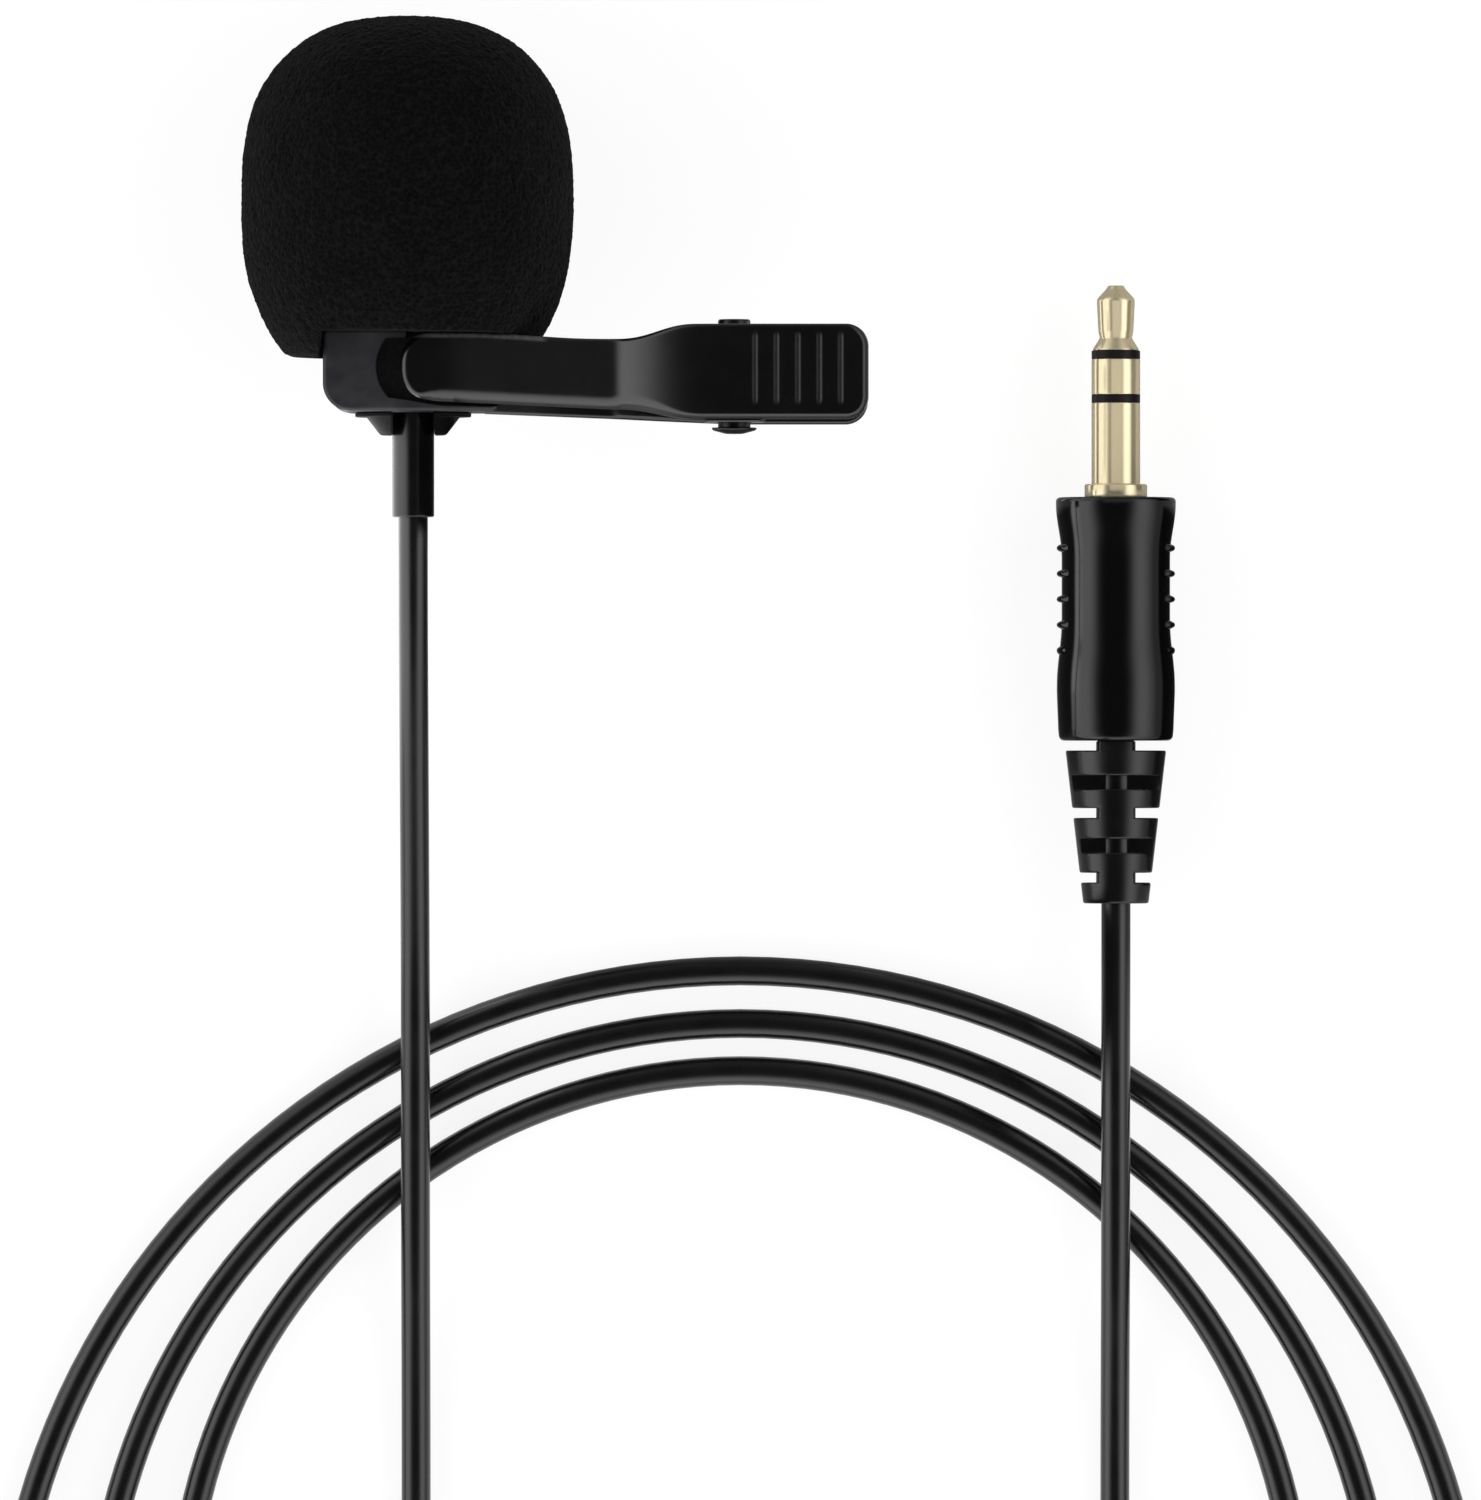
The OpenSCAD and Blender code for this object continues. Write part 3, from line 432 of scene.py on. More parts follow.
def volume(verts, faces):
    """Signed volume: the sum of the tetrahedra from the origin to each triangle of each face."""
    total = 0.0
    for f in faces:
        for k in range(1, f.shape[1] - 1):
            a, b, c = verts[f[:, 0]], verts[f[:, k]], verts[f[:, k + 1]]
            total += np.einsum("ij,ij->i", a, np.cross(b, c)).sum() / 6
    return total


def outward(shape):
    """The shape with its faces turned so that they point outwards."""
    verts, faces = shape
    if volume(verts - verts.mean(0), faces) < 0:
        faces = [f[:, ::-1] for f in faces]
    return verts, faces


def placed(shape, origin):
    """The shape moved to its place in the frame."""
    verts, faces = shape
    return verts + origin, faces


def new_mesh(name, shape):
    """A mesh from vertices in metres and a list of arrays of faces."""
    verts, faces = shape
    mesh = bpy.data.meshes.new(name)
    mesh.from_pydata(verts.tolist(), [], [q for f in faces for q in f.tolist()])
    return mesh


def in_metres(shape):
    """The shape with its vertices in metres, from millimetres."""
    return shape[0] * MM, shape[1]


def add_object(name, data):
    """Adds an object with this data to the scene."""
    added = bpy.data.objects.new(name, data)
    bpy.context.scene.collection.objects.link(added)
    return added


def smooth(mesh, sharp=SHARP_ANGLE):
    """Smooth shading, with sharp edges where faces meet at more than this angle in degrees."""
    mesh.polygons.foreach_set("use_smooth", np.ones(len(mesh.polygons), bool))
    mesh.set_sharp_from_angle(angle=np.radians(sharp))


def make_piece(name, shape, colours, body, sharp=SHARP_ANGLE, merge=False, nodes=()):
    """Makes a mesh object from vertices in millimetres and lets it ride on its body."""
    mesh = new_mesh(name, in_metres(shape))
    if merge:
        weld(mesh)
    mesh.validate()
    smooth(mesh, sharp)
    mesh.materials.append(finish(colours))
    mesh.update()
    piece = add_object(name, mesh)
    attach(piece, body)
    if nodes:
        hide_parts(*nodes)
    return piece


def weld(mesh):
    """Joins vertices at the same place, drops faces without area and turns the rest outwards."""
    bm = bmesh.new()
    bm.from_mesh(mesh)
    bmesh.ops.remove_doubles(bm, verts=bm.verts, dist=SAME_PLACE)
    bmesh.ops.dissolve_degenerate(bm, dist=SAME_PLACE / 2, edges=bm.edges)
    bmesh.ops.recalc_face_normals(bm, faces=bm.faces)
    bm.to_mesh(mesh)
    bm.free()


# ---- Finishes ----

def add_node(tree, kind, settings=None, **inputs):
    """Adds a node. Inputs are values or sockets. They are named by the socket, with _ for a space, or by n and
    the socket's number."""
    node = tree.nodes.new(kind)
    for key, value in (settings or {}).items():
        setattr(node, key, value)
    for key, value in inputs.items():
        numbered = key[0] == "n" and key[1:].isdigit()
        socket = node.inputs[int(key[1:]) if numbered else key.replace("_", " ")]
        if isinstance(value, bpy.types.NodeSocket):
            tree.links.new(value, socket)
        else:
            socket.default_value = value
    return node


def start_material(name, colour):
    """An empty material with its shader, and the object's own coordinates."""
    mat = bpy.data.materials.new(name)
    mat.use_nodes = True
    mat.diffuse_color = (*colour, 1.0)
    tree = mat.node_tree
    shader = tree.nodes["Principled BSDF"]
    coords = tree.nodes.new("ShaderNodeTexCoord").outputs["Object"]
    return mat, tree, shader, coords


def stretch(tree, coords, scale):
    """Object coordinates stretched by a factor along each axis."""
    return add_node(tree, "ShaderNodeMapping", Vector=coords, Scale=scale).outputs["Vector"]


def two_tone(tree, fac, low, high, start=0.3, end=0.7):
    """Goes from one colour to another as fac rises."""
    ramp = tree.nodes.new("ShaderNodeValToRGB")
    ramp.color_ramp.elements[0].position, ramp.color_ramp.elements[1].position = start, end
    ramp.color_ramp.elements[0].color = (*low, 1.0)
    ramp.color_ramp.elements[1].color = (*high, 1.0)
    tree.links.new(fac, ramp.inputs["Fac"])
    return ramp.outputs["Color"]


def between(tree, fac, low, high, start=0.3, end=0.7):
    """A number that goes from low to high as fac rises."""
    return add_node(tree, "ShaderNodeMapRange", n0=fac, n1=start, n2=end, n3=low, n4=high).outputs["Result"]


def noise(tree, coords, scale, detail=3.0, rough=0.55):
    """Cloudy noise with this many cells to a metre."""
    return add_node(tree, "ShaderNodeTexNoise", Vector=coords, Scale=scale, Detail=detail,
                    Roughness=rough).outputs["Fac"]


def bump(tree, height, depth):
    """Bump of the given depth in millimetres."""
    return add_node(tree, "ShaderNodeBump", Height=height, Distance=depth * MM, Strength=1.0).outputs["Normal"]


def product(tree, a, b):
    """Two values multiplied."""
    return add_node(tree, "ShaderNodeMath", {"operation": "MULTIPLY"}, n0=a, n1=b).outputs[0]


def read_attribute(tree, name):
    """The mesh's own values of this name."""
    return add_node(tree, "ShaderNodeAttribute", {"attribute_name": name}).outputs["Fac"]


def shade(colour, factor):
    """The colour made lighter or darker by a factor."""
    return tuple(min(1.0, c * factor) for c in colour)


def moulded(name, colour, roughness, specular, grain=9000.0, depth=0.004, vary=0.35, sheen=0.0, painted_light_tone=None):
    """Moulded plastic or rubber: fine grain in the surface, and faint clouds in its colour and roughness.
    Where the mesh's wear is above 0, the colour goes unevenly towards the painted light tone, which is
    a painted highlight on the levers and painted shade inside the block's pocket."""
    mat, tree, shader, coords = start_material(name, colour)
    cloud = noise(tree, coords, 420.0, 4.0)
    fine = noise(tree, coords, grain, 2.0)
    base = two_tone(tree, cloud, shade(colour, 1 - vary), shade(colour, 1 + vary))
    if painted_light_tone:
        # Painted light: the colour goes towards the painted light tone where the mesh's attribute is above 0
        wear = read_attribute(tree, "wear")
        wear = product(tree, wear, between(tree, noise(tree, coords, 2600.0), 0.75, 1.25))
        base = add_node(tree, "ShaderNodeMix", {"data_type": "RGBA"}, n0=wear, n6=base,
                        n7=(*painted_light_tone, 1.0)).outputs[2]
    tree.links.new(base, shader.inputs["Base Color"])
    rough = between(tree, cloud, roughness * 0.88, min(1.0, roughness * 1.14))
    tree.links.new(rough, shader.inputs["Roughness"])
    tree.links.new(bump(tree, fine, depth), shader.inputs["Normal"])
    shader.inputs["Specular IOR Level"].default_value = specular
    shader.inputs["Sheen Weight"].default_value = sheen
    shader.inputs["Sheen Roughness"].default_value = 0.3
    return mat


def metal(name, colour, roughness, axis_scale=(1.0, 1.0, 1.0), vary=0.08, depth=0.0015, purity=1.0):
    """Plated or bare metal: fine turning lines, small tarnish spots and uneven polish."""
    mat, tree, shader, coords = start_material(name, colour)
    lines = noise(tree, stretch(tree, coords, axis_scale), 2600.0)
    spots = noise(tree, coords, 900.0, 5.0, 0.65)
    tree.links.new(two_tone(tree, spots, shade(colour, 1 - vary), shade(colour, 1 + vary / 2)),
                   shader.inputs["Base Color"])
    tree.links.new(between(tree, lines, roughness * 0.9, roughness * 1.12), shader.inputs["Roughness"])
    tree.links.new(bump(tree, lines, depth), shader.inputs["Normal"])
    shader.inputs["Metallic"].default_value = purity
    return mat


def foam_finish(colour):
    """Open-cell foam: round pores between thin lighter strands, no shine."""
    mat, tree, shader, coords = start_material("foam_black", colour)
    cells = add_node(tree, "ShaderNodeTexVoronoi", {"feature": "F1"}, Vector=coords, Scale=3100.0,
                     Randomness=1.0).outputs["Distance"]
    strands = noise(tree, coords, 3400.0, 3.0, 0.7)
    patch = noise(tree, coords, 300.0, 3.0)
    mixed = product(tree, cells, strands)
    tinted = add_node(tree, "ShaderNodeMath", {"operation": "MULTIPLY_ADD"}, n0=patch, n1=0.25,
                      n2=mixed).outputs[0]
    tree.links.new(two_tone(tree, tinted, shade(colour, 0.35), shade(colour, 2.1), 0.25, 0.62),
                   shader.inputs["Base Color"])
    tree.links.new(between(tree, strands, 0.8, 1.0), shader.inputs["Roughness"])
    tree.links.new(bump(tree, mixed, 0.22), shader.inputs["Normal"])
    shader.inputs["Specular IOR Level"].default_value = 0.05
    shader.inputs["Sheen Weight"].default_value = 0.025
    shader.inputs["Sheen Roughness"].default_value = 0.6
    return mat


FINISH = {}


def make_finishes():
    """All the materials, by name."""
    c = read("lav_colours")
    return {
        "foam": foam_finish(c.foam),
        "jacket": moulded("cable_jacket_black", c.jacket, 0.24, 0.6, 5200.0, 0.002, sheen=0.35),
        "rubber": moulded("relief_rubber_black", c.rubber, 0.22, 0.5, 6000.0, 0.002, sheen=0.15),
        # The levers' finish carries a painted highlight, and the block's carries painted shade inside the
        # tongue's pocket
        "satin": moulded("clip_plastic_black", c.satin, 0.19, 0.65, 8200.0, 0.002, painted_light_tone=c.painted_light_tone),
        "block": moulded("block_plastic_black", c.block, 0.42, 0.35, 8200.0, 0.003, painted_light_tone=c.pocket),
        "tail": moulded("tail_plastic_black", c.tail, 0.55, 0.1, 7000.0, 0.003),
        "gloss": moulded("grip_plastic_black", c.gloss, 0.12, 0.45, 3000.0, 0.0004, 0.3),
        "gold": metal("contact_gold", c.gold, 0.14, (1.0, 6.0, 1.0), 0.02, depth=0.0001, purity=0.6),
        "steel": metal("bright_steel", c.steel, 0.28),
        "black_steel": moulded("blackened_steel", c.black_steel, 0.28, 0.4, 7000.0, 0.002),
        "band": moulded("band_black", c.band, 0.4, 0.2, 6000.0, 0.001),
        "board": moulded("board_green", c.board, 0.35, 0.5, 4000.0, 0.004),
        "wire": moulded("wire_red", c.wire, 0.4, 0.5, 4000.0, 0.002),
        "felt": moulded("felt_black", c.foam, 0.95, 0.1, 3000.0, 0.05),
    }


def finish(name):
    """The material of this name. All of them are made when the first is asked for."""
    if name not in FINISH:
        FINISH.update(make_finishes())
    return FINISH[name]


# ---- Cable ----

# Radius of each loop and its centre's place along the microphone's axis, and the points that the cable passes
# on its way into the loops and out of them, in millimetres from the microphone's axis and block
LOOP_R = np.array([40.3, 46.4, 53.2])
LOOP_Y = np.array([-90.5, -93.2, -96.2])
MIC_ROUTE = [(0, -10.425, 11.5), (0, -12.525, 11.5), (0, -15, 11.3), (0, -19, 10.7), (0, -25, 9.1),
             (0, -31, 7.3), (0, -37, 5.6), (0, -43, 4.2), (0, -49, 3.6), (0, -54, 3.5), (0, -59, 3.4),
             (0, -64, 2.9), (0, -70, 1.9), (0, -76, 1.3), (0, -82, 1.05), (0, -88, 1.05), (0, -94, 1.05),
             (0, -100, 1.05), (0, -105.3, 1.05)]
PLUG_ROUTE = [(27.6, -149.4, 1.05), (32.5, -148.2, 1.9), (37.2, -145.6, 3.1), (42.5, -141.5, 3.5),
              (46.8, -135.9, 3.5), (49.5, -129.4, 3.5), (50.4, -122.4, 3.5), (50.4, -116, 3.2),
              (50.4, -110, 2.3), (50.4, -104, 1.4), (50.4, -98, 1.05), (50.4, -91, 1.05), (50.4, -84, 1.05),
              (50.4, -77, 1.2), (50.4, -71, 2.0), (50.4, -65.5, 3.0), (50.4, -60.5, 3.5), (50.4, -55.5, 3.6),
              (50.4, -50, 3.7), (50.4, -45, 4.1), (50.4, -40.2, 4.32), (50.4, -38.1, 4.32)]


def mic_origin():
    """Where the microphone's axis crosses the holder block's middle, in the frame."""
    top = read("lav_microphone").barrel_top
    return np.array([(BARREL_LOW[0] + BARREL_HIGH[0]) / 2, BARREL_HIGH[1] - top,
                     (BARREL_LOW[2] + BARREL_HIGH[2]) / 2])


def plug_origin():
    """The middle of the grip's front face, in the frame."""
    return np.array([(SLEEVE_LOW[0] + SLEEVE_HIGH[0]) / 2, SLEEVE_LOW[1], (SLEEVE_LOW[2] + SLEEVE_HIGH[2]) / 2])


def loops(c, per_turn=32):
    """The coil's line: angle runs three and a quarter turns from the left, and is 0 at the end away from the
    microphone. Radius and centre ease from one loop's to the next one's on both sides of that end, and stay the
    same for the rest of the turn. The first bend starts tighter."""
    full, change, bend = 360.0, 103.0, 40.0    # degrees: a turn, and how far from the end each change reaches
    angle = -90.0 + np.arange(int(3.25 * per_turn) + 1) * full / per_turn
    turn = np.clip(np.floor((angle + change) / full), 0, 2).astype(int)
    back = angle - full * turn
    step = np.where(turn == 0, 1.0, ease((back + change) / (2 * change)))
    first = ease((angle + bend) / (2 * bend))

    def follow(values, start):
        """A value of the loops along the line, with its own start in the first bend."""
        last = np.maximum(turn - 1, 0)
        value = values[last] * (1 - step) + values[turn] * step
        return np.where(angle < bend, start * (1 - first) + values[0] * first, value)

    radius = follow(LOOP_R, c.way_in_r)
    centre = follow(LOOP_Y, LOOP_Y[0] - LOOP_R[0] + c.way_in_r)
    a = np.radians(angle)
    return np.stack([c.loop_x + radius * np.sin(a), centre - radius * np.cos(a),
                     np.full(len(a), c.diameter / 2)], axis=1)


class LAV_OT_cable(Operator):
    """Makes the cable: one tube from the microphone down to the surface, round the loops and up to the plug"""
    bl_idname = "lav.cable"
    bl_label = "Cable"

    def execute(self, context):
        c = read("lav_cable")
        way = np.vstack([MIC_ROUTE, loops(c), [(c.loop_x + c.diameter, c.end_y, c.diameter / 2)], PLUG_ROUTE])
        way = way + np.array([mic_origin()[0], mic_origin()[1], 0.0])
        line = smooth_path(way, 5)
        into_relief = (0, 0.8, 0)
        line = np.vstack([line[0] + into_relief, line, line[-1] + into_relief])
        rings = carried(line, c.diameter / 2, c.sides, (0, 0, 1))
        piece = make_piece("cable", outward(closed_tube(rings)), "jacket", "microphone",
                           sharp=50, nodes=("cable_mic_run", "cable_coil", "cable_plug_run"))
        return {"FINISHED"}


# ---- Microphone ----

class LAV_OT_microphone(Operator):
    """Makes the microphone's barrel, its tail with flange and two jaws, and its strain relief"""
    bl_idname = "lav.microphone"
    bl_label = "Microphone"

    def execute(self, context):
        m, origin = read("lav_microphone"), mic_origin()
        bore = m.barrel_r - m.barrel_wall
        barrel = round_off([(bore, m.flange_top), (m.barrel_r, m.flange_top), (m.barrel_r, m.barrel_top),
                            (bore, m.barrel_top)], 0.12, 4, closed=True)
        tube = outward(closed_loop(turned(barrel, TURNED_SIDES)))
        make_piece("mic_barrel_tube", placed(tube, origin), "black_steel", "microphone",
                   nodes=("mic_barrel",))
        hole, rim = m.relief_r + FIT, bore - FIT
        tail_top = m.flange_top + m.tail_l
        tail = round_off([(hole, m.flange_top), (rim, m.flange_top), (rim, tail_top), (hole, tail_top)],
                         0.1, 4, closed=True)
        tail = outward(closed_loop(turned(tail, TURNED_SIDES)))
        jaws = [self.jaw(m, side) for side in (-1, 1)]
        make_piece("mic_tail", placed(together(tail, *jaws), origin), "tail", "microphone",
                   sharp=28, nodes=("tail_plug",))
        relief = round_off([(0, m.relief_high), (m.relief_r, m.relief_high), (m.relief_r, m.relief_low),
                            (0, m.relief_low)], 0.14, 5)[1:-1]
        relief = outward(closed_tube(turned(finer(relief, 1.0), 64)))
        make_piece("mic_relief", placed(relief, origin), "rubber", "microphone",
                   nodes=("mic_strain_relief",))
        return {"FINISHED"}

    def jaw(self, m, side):
        """One half of the flange with its jaw: the part of a disc and a cone beyond the slot's wall, arc and
        chord together, at several heights. The radius steps in under the flange, falls to the foot and rounds
        in at both edges."""
        low, foot = m.flange_top - m.flange_t, m.flange_top - m.flange_t - m.cone_l
        y = np.array([m.flange_top + 0.2, m.flange_top, m.flange_top - 0.04, low + 0.05, low, low - 0.001,
                      low - 0.1, low - 0.5, low - 0.9, foot + 0.12, foot + 0.03, foot])
        cone = m.cone_r + (m.cone_foot_r - m.cone_r) * np.clip((low - y) / m.cone_l, 0, 1)
        radius = np.where(y > low - 0.0005, m.flange_r, cone)
        radius -= np.array([1.0, 0.06, 0, 0, 0.05, 0, 0, 0, 0, 0, 0.05, 0.14])
        slot = m.relief_r + 0.04 + np.array([0, 0, 0, 0, 0, 0, 0, 0, 0, 0, 0.02, 0.08])
        points = 33
        end = np.arccos(slot / radius)[:, None] * np.linspace(-1, 1, points)[None, :]
        arc = np.stack([side * radius[:, None] * np.cos(end), np.repeat(y[:, None], points, 1),
                        radius[:, None] * np.sin(end)], axis=-1)
        return outward(closed_tube(arc))


# ---- Foam ----

def lattice(p, seed):
    """Smooth random value at each point: random numbers on a lattice, blended between its corners."""
    base = np.floor(p).astype(np.int64)
    part = p - base
    part = part * part * (3 - 2 * part)

    def corner(dx, dy, dz):
        """The random number at one corner of each point's cell."""
        n = (base[..., 0] + dx) * 374761393 + (base[..., 1] + dy) * 668265263 + (base[..., 2] + dz) * 2147483647
        n = (n + seed * 1274126177) & 0x7FFFFFFF
        n = ((n ^ (n >> 13)) * 1274126177) & 0x7FFFFFFF
        return ((n ^ (n >> 16)) & 0xFFFF) / 65535.0

    total = 0.0
    for dx in (0, 1):
        for dy in (0, 1):
            for dz in (0, 1):
                weight = (np.abs(1 - dx - part[..., 0]) * np.abs(1 - dy - part[..., 1])
                          * np.abs(1 - dz - part[..., 2]))
                total = total + weight * corner(dx, dy, dz)
    return total


class LAV_OT_foam(Operator):
    """Makes the foam ball, pressed up round the clip and flat where it rests"""
    bl_idname = "lav.foam"
    bl_label = "Foam ball"

    def execute(self, context):
        f, clip, origin = read("lav_foam"), read("lav_clip"), mic_origin()
        rings, skin = self.surface(f)
        rings = self.roughen(rings, skin, f)
        rings = self.dent(rings, skin, f, clip)
        rings = self.settle(rings, f)
        piece = make_piece("foam_ball", placed(outward(closed_tube(rings)), origin), "foam", "windscreen",
                           sharp=180, nodes=("foam_windscreen",))
        return {"FINISHED"}

    def half(self, v, f):
        """Radius at height v: a superellipse, |r/radius|^power + |v/height|^power = 1."""
        height = np.where(v > 0, f.up, f.down)
        return f.radius * np.maximum(0, 1 - (np.abs(v) / height) ** f.power) ** (1 / f.power)

    def surface(self, f):
        """Rings of the ball: down the bore from its end, across the flat underside, and over the outside. Also
        which rings are skin, which are all but the bore's."""
        sides = 420
        v = np.concatenate([-f.cut + f.cut * np.linspace(0, 1, 96)[:-1],
                            f.up * np.sin(np.linspace(0, 1, 118) * np.pi / 2) ** 0.92])
        side = np.stack([self.half(v, f), f.level + v], axis=1)[:-1]
        low = f.level - f.cut
        rim = round_off([(f.bore_r, low), side[0], side[6]], 0.9, 8)
        inner = [(0.4, f.bore_top), (f.bore_r - 0.4, f.bore_top), (f.bore_r, f.bore_top - 0.4),
                 (f.bore_r, low + 0.3), (f.bore_r + 0.3, low)]
        bore = finer(inner, 0.9)
        floor = finer(rim[1:], 0.22)
        profile = np.vstack([bore, finer([bore[-1], floor[0]], 0.3)[1:-1], floor, side[7:],
                             [(0.12, f.level + f.up)]])
        lean = np.interp(profile[:, 0], [f.bore_r, f.bore_r + 1.5], [0, f.lean])
        lean = np.where(np.arange(len(profile)) >= len(bore) + 12, f.lean, lean)
        rings = turned(profile, sides)
        rings[..., 0] -= lean[:, None]
        return rings, (np.arange(len(profile)) >= len(bore))[:, None]

    def dent(self, rings, skin, f, clip):
        """Foam below the top of the clip's block and arm is pushed up to it, with a soft shoulder round it. In
        front of the block it bulges down again a little, to the upper edge of the front arm."""
        x, y, z = rings[..., 0], rings[..., 1], rings[..., 2]
        gap, shoulder, low = 0.03, 0.35, f.level - f.cut

        def lift(x0, x1, z0, top):
            """How high the foam is pushed by a box that reaches up to top."""
            out = np.maximum(np.maximum(x0 - gap - x, x - x1 - gap), z0 - gap - z)
            return low - 1 + (top + gap - low + 1) * (1 - ease(out / shoulder))

        half_d = clip.block_d / 2
        bulge = ease((z - half_d - 0.1) / 0.4)
        block_top = clip.block_h / 2 - 0.2 * bulge
        arm_top = half_up(np.maximum(x, 0), clip) - clip.drop + 0.02
        on_arm = ease((x - clip.tongue_tip) / 1.2) * bulge
        block = lift(-clip.block_left, clip.block_right, -half_d, block_top + (arm_top - block_top) * on_arm)
        back = clip.jaw_z - clip.arm_gap - clip.back_t
        arm = lift(0.0, 1e3, back, arm_top)
        rings[..., 1] = np.where(skin, np.maximum(y, np.maximum(block, arm)), y)
        return rings

    def roughen(self, rings, skin, f):
        """Pushes the skin in and out along its normals by three sizes of lattice noise, most in round pits."""
        normal = np.cross(np.gradient(rings, axis=0), (np.roll(rings, -1, 1) - np.roll(rings, 1, 1)) / 2)
        length = np.linalg.norm(normal, axis=-1, keepdims=True)
        normal = np.where(length > 1e-9, normal / np.maximum(length, 1e-9), 0)
        pits = lattice(rings / f.grain, 1) ** 2
        grain = lattice(rings / (f.grain * 0.45), 2) - 0.5
        swell = lattice(rings / 4.0, 3) - 0.5
        depth = f.pore * (0.6 - 1.5 * pits + 0.8 * grain) + 0.12 * swell
        outer = skin & (rings[..., 1] > f.level - f.cut + 0.2)
        sign = np.sign((normal * (rings - rings.mean((0, 1)))).sum(-1).mean())
        push = np.where(outer, depth, 0.0)
        push = push * np.clip(np.arange(len(rings))[::-1] / 3.0, 0, 1)[:, None]
        return rings + normal * sign * push[..., None]

    def settle(self, rings, f):
        """Flattens the ball where it lies on the surface: heights near it follow the softened corner
        width * log(1 + exp(height / width))."""
        floor, width = -f.rest + 0.02, 0.35
        z = rings[..., 2]
        near = floor + width * np.log1p(np.exp(np.clip((z - floor) / width, -40, 40)))
        rings[..., 2] = np.where(z < floor + 3, np.minimum(near, np.maximum(z, floor) + 0.25), z)
        return rings


# ---- Clip ----

GROWTH = 6.0       # millimetres from the flare's start over which the levers grow to the grip's height
ROOT_ROOM = 0.3    # millimetres that the ears reach into their lever, and that the spring's legs keep from it


def spread(x, c):
    """How far a lever has spread at x: nothing, then a circle's arc that levels out at the flare's end. The
    crease between them is a cubic that meets both in height and slope."""
    run = c.flare_end - c.flare_start
    radius = (run ** 2 + c.flare_rise ** 2) / (2 * c.flare_rise)
    start, end = c.flare_start - c.crease, c.flare_start + c.crease

    def arc(at):
        """The flare's circle."""
        return c.flare_rise - radius + np.sqrt(np.maximum(radius ** 2 - (c.flare_end - at) ** 2, 0))

    slope = (c.flare_end - end) / np.sqrt(radius ** 2 - (c.flare_end - end) ** 2)
    t = np.clip((x - start) / (end - start), 0, 1)
    soft = (3 * t ** 2 - 2 * t ** 3) * arc(end) + (t ** 3 - t ** 2) * slope * (end - start)
    return np.where(x < end, soft, np.where(x > c.flare_end, c.flare_rise, arc(x)))


def half_up(x, c):
    """Half height of a lever above its middle: level, then an eased fall to the arm, then an eased rise to the
    grip."""
    fall = ease((x - c.fall_start) / (c.flare_start - c.fall_start))
    return np.where(x < c.flare_start, c.tongue_half + (c.arm_half - c.tongue_half) * fall,
                    c.arm_half + (c.grip_half - c.arm_half) * ease((x - c.flare_start) / GROWTH))


def half_front(x, c):
    """Depth of the front lever below its middle: straight from the tongue to the flare, then eased to the
    grip."""
    slant = c.tongue_low + (c.arm_low - c.tongue_low) * np.maximum(x, 0) / c.flare_start
    return np.where(x < c.flare_start, slant,
                    c.arm_low + (c.grip_low - c.arm_low) * ease((x - c.flare_start) / GROWTH))


def half_back(x, c):
    """Depth of the back lever below its middle: straight from the block to the pin, then level."""
    return c.back_low + (c.grip_half - c.back_low) * np.clip(x / c.pin_x, 0, 1)


def lever_edges(c, x0, below, tongue):
    """Upper and lower edge of a lever seen from the front, as two lists of as many points, from the left end to
    the right end. Corners are quarter circles. A tongue's end is half a superellipse, of power 2.5."""
    xs = np.unique(np.concatenate([np.linspace(x0, c.flare_start - c.crease, 40),
                                   np.linspace(c.flare_start - c.crease, c.flare_end, 70),
                                   np.linspace(c.flare_end, c.reach - c.grip_corner, 150)]))
    turn = np.radians(np.linspace(90, 0, 17))[1:]
    corner_x = c.reach - c.grip_corner * (1 - np.cos(turn))
    low_end = below(c.reach, c)
    up = [np.stack([xs, half_up(xs, c)], axis=1),
          np.stack([corner_x, c.grip_half - c.grip_corner * (1 - np.sin(turn))], axis=1)]
    low = [np.stack([xs, -below(xs, c)], axis=1),
           np.stack([corner_x, -low_end + c.grip_corner * (1 - np.sin(turn))], axis=1)]
    if tongue:
        radius = (c.tongue_half + c.tongue_low) / 2
        around = np.radians(90 * np.linspace(0, 1, 29)[:-1] ** 1.5)
        tip_x = x0 - radius * np.cos(around) ** 0.8
        tip_y = radius * np.sin(around) ** 0.8
        mid = (c.tongue_half - c.tongue_low) / 2
        up = [np.stack([tip_x, mid + tip_y], axis=1), *up]
        low = [np.stack([tip_x, mid - tip_y], axis=1), *low]
    return np.vstack(up), np.vstack(low)


def edge_normals(line, side):
    """Outward normals of an edge line, side 1 for the upper and -1 for the lower edge."""
    along = np.gradient(line, axis=0)
    along /= np.linalg.norm(along, axis=1)[:, None]
    return side * np.stack([-along[:, 1], along[:, 0]], axis=1)


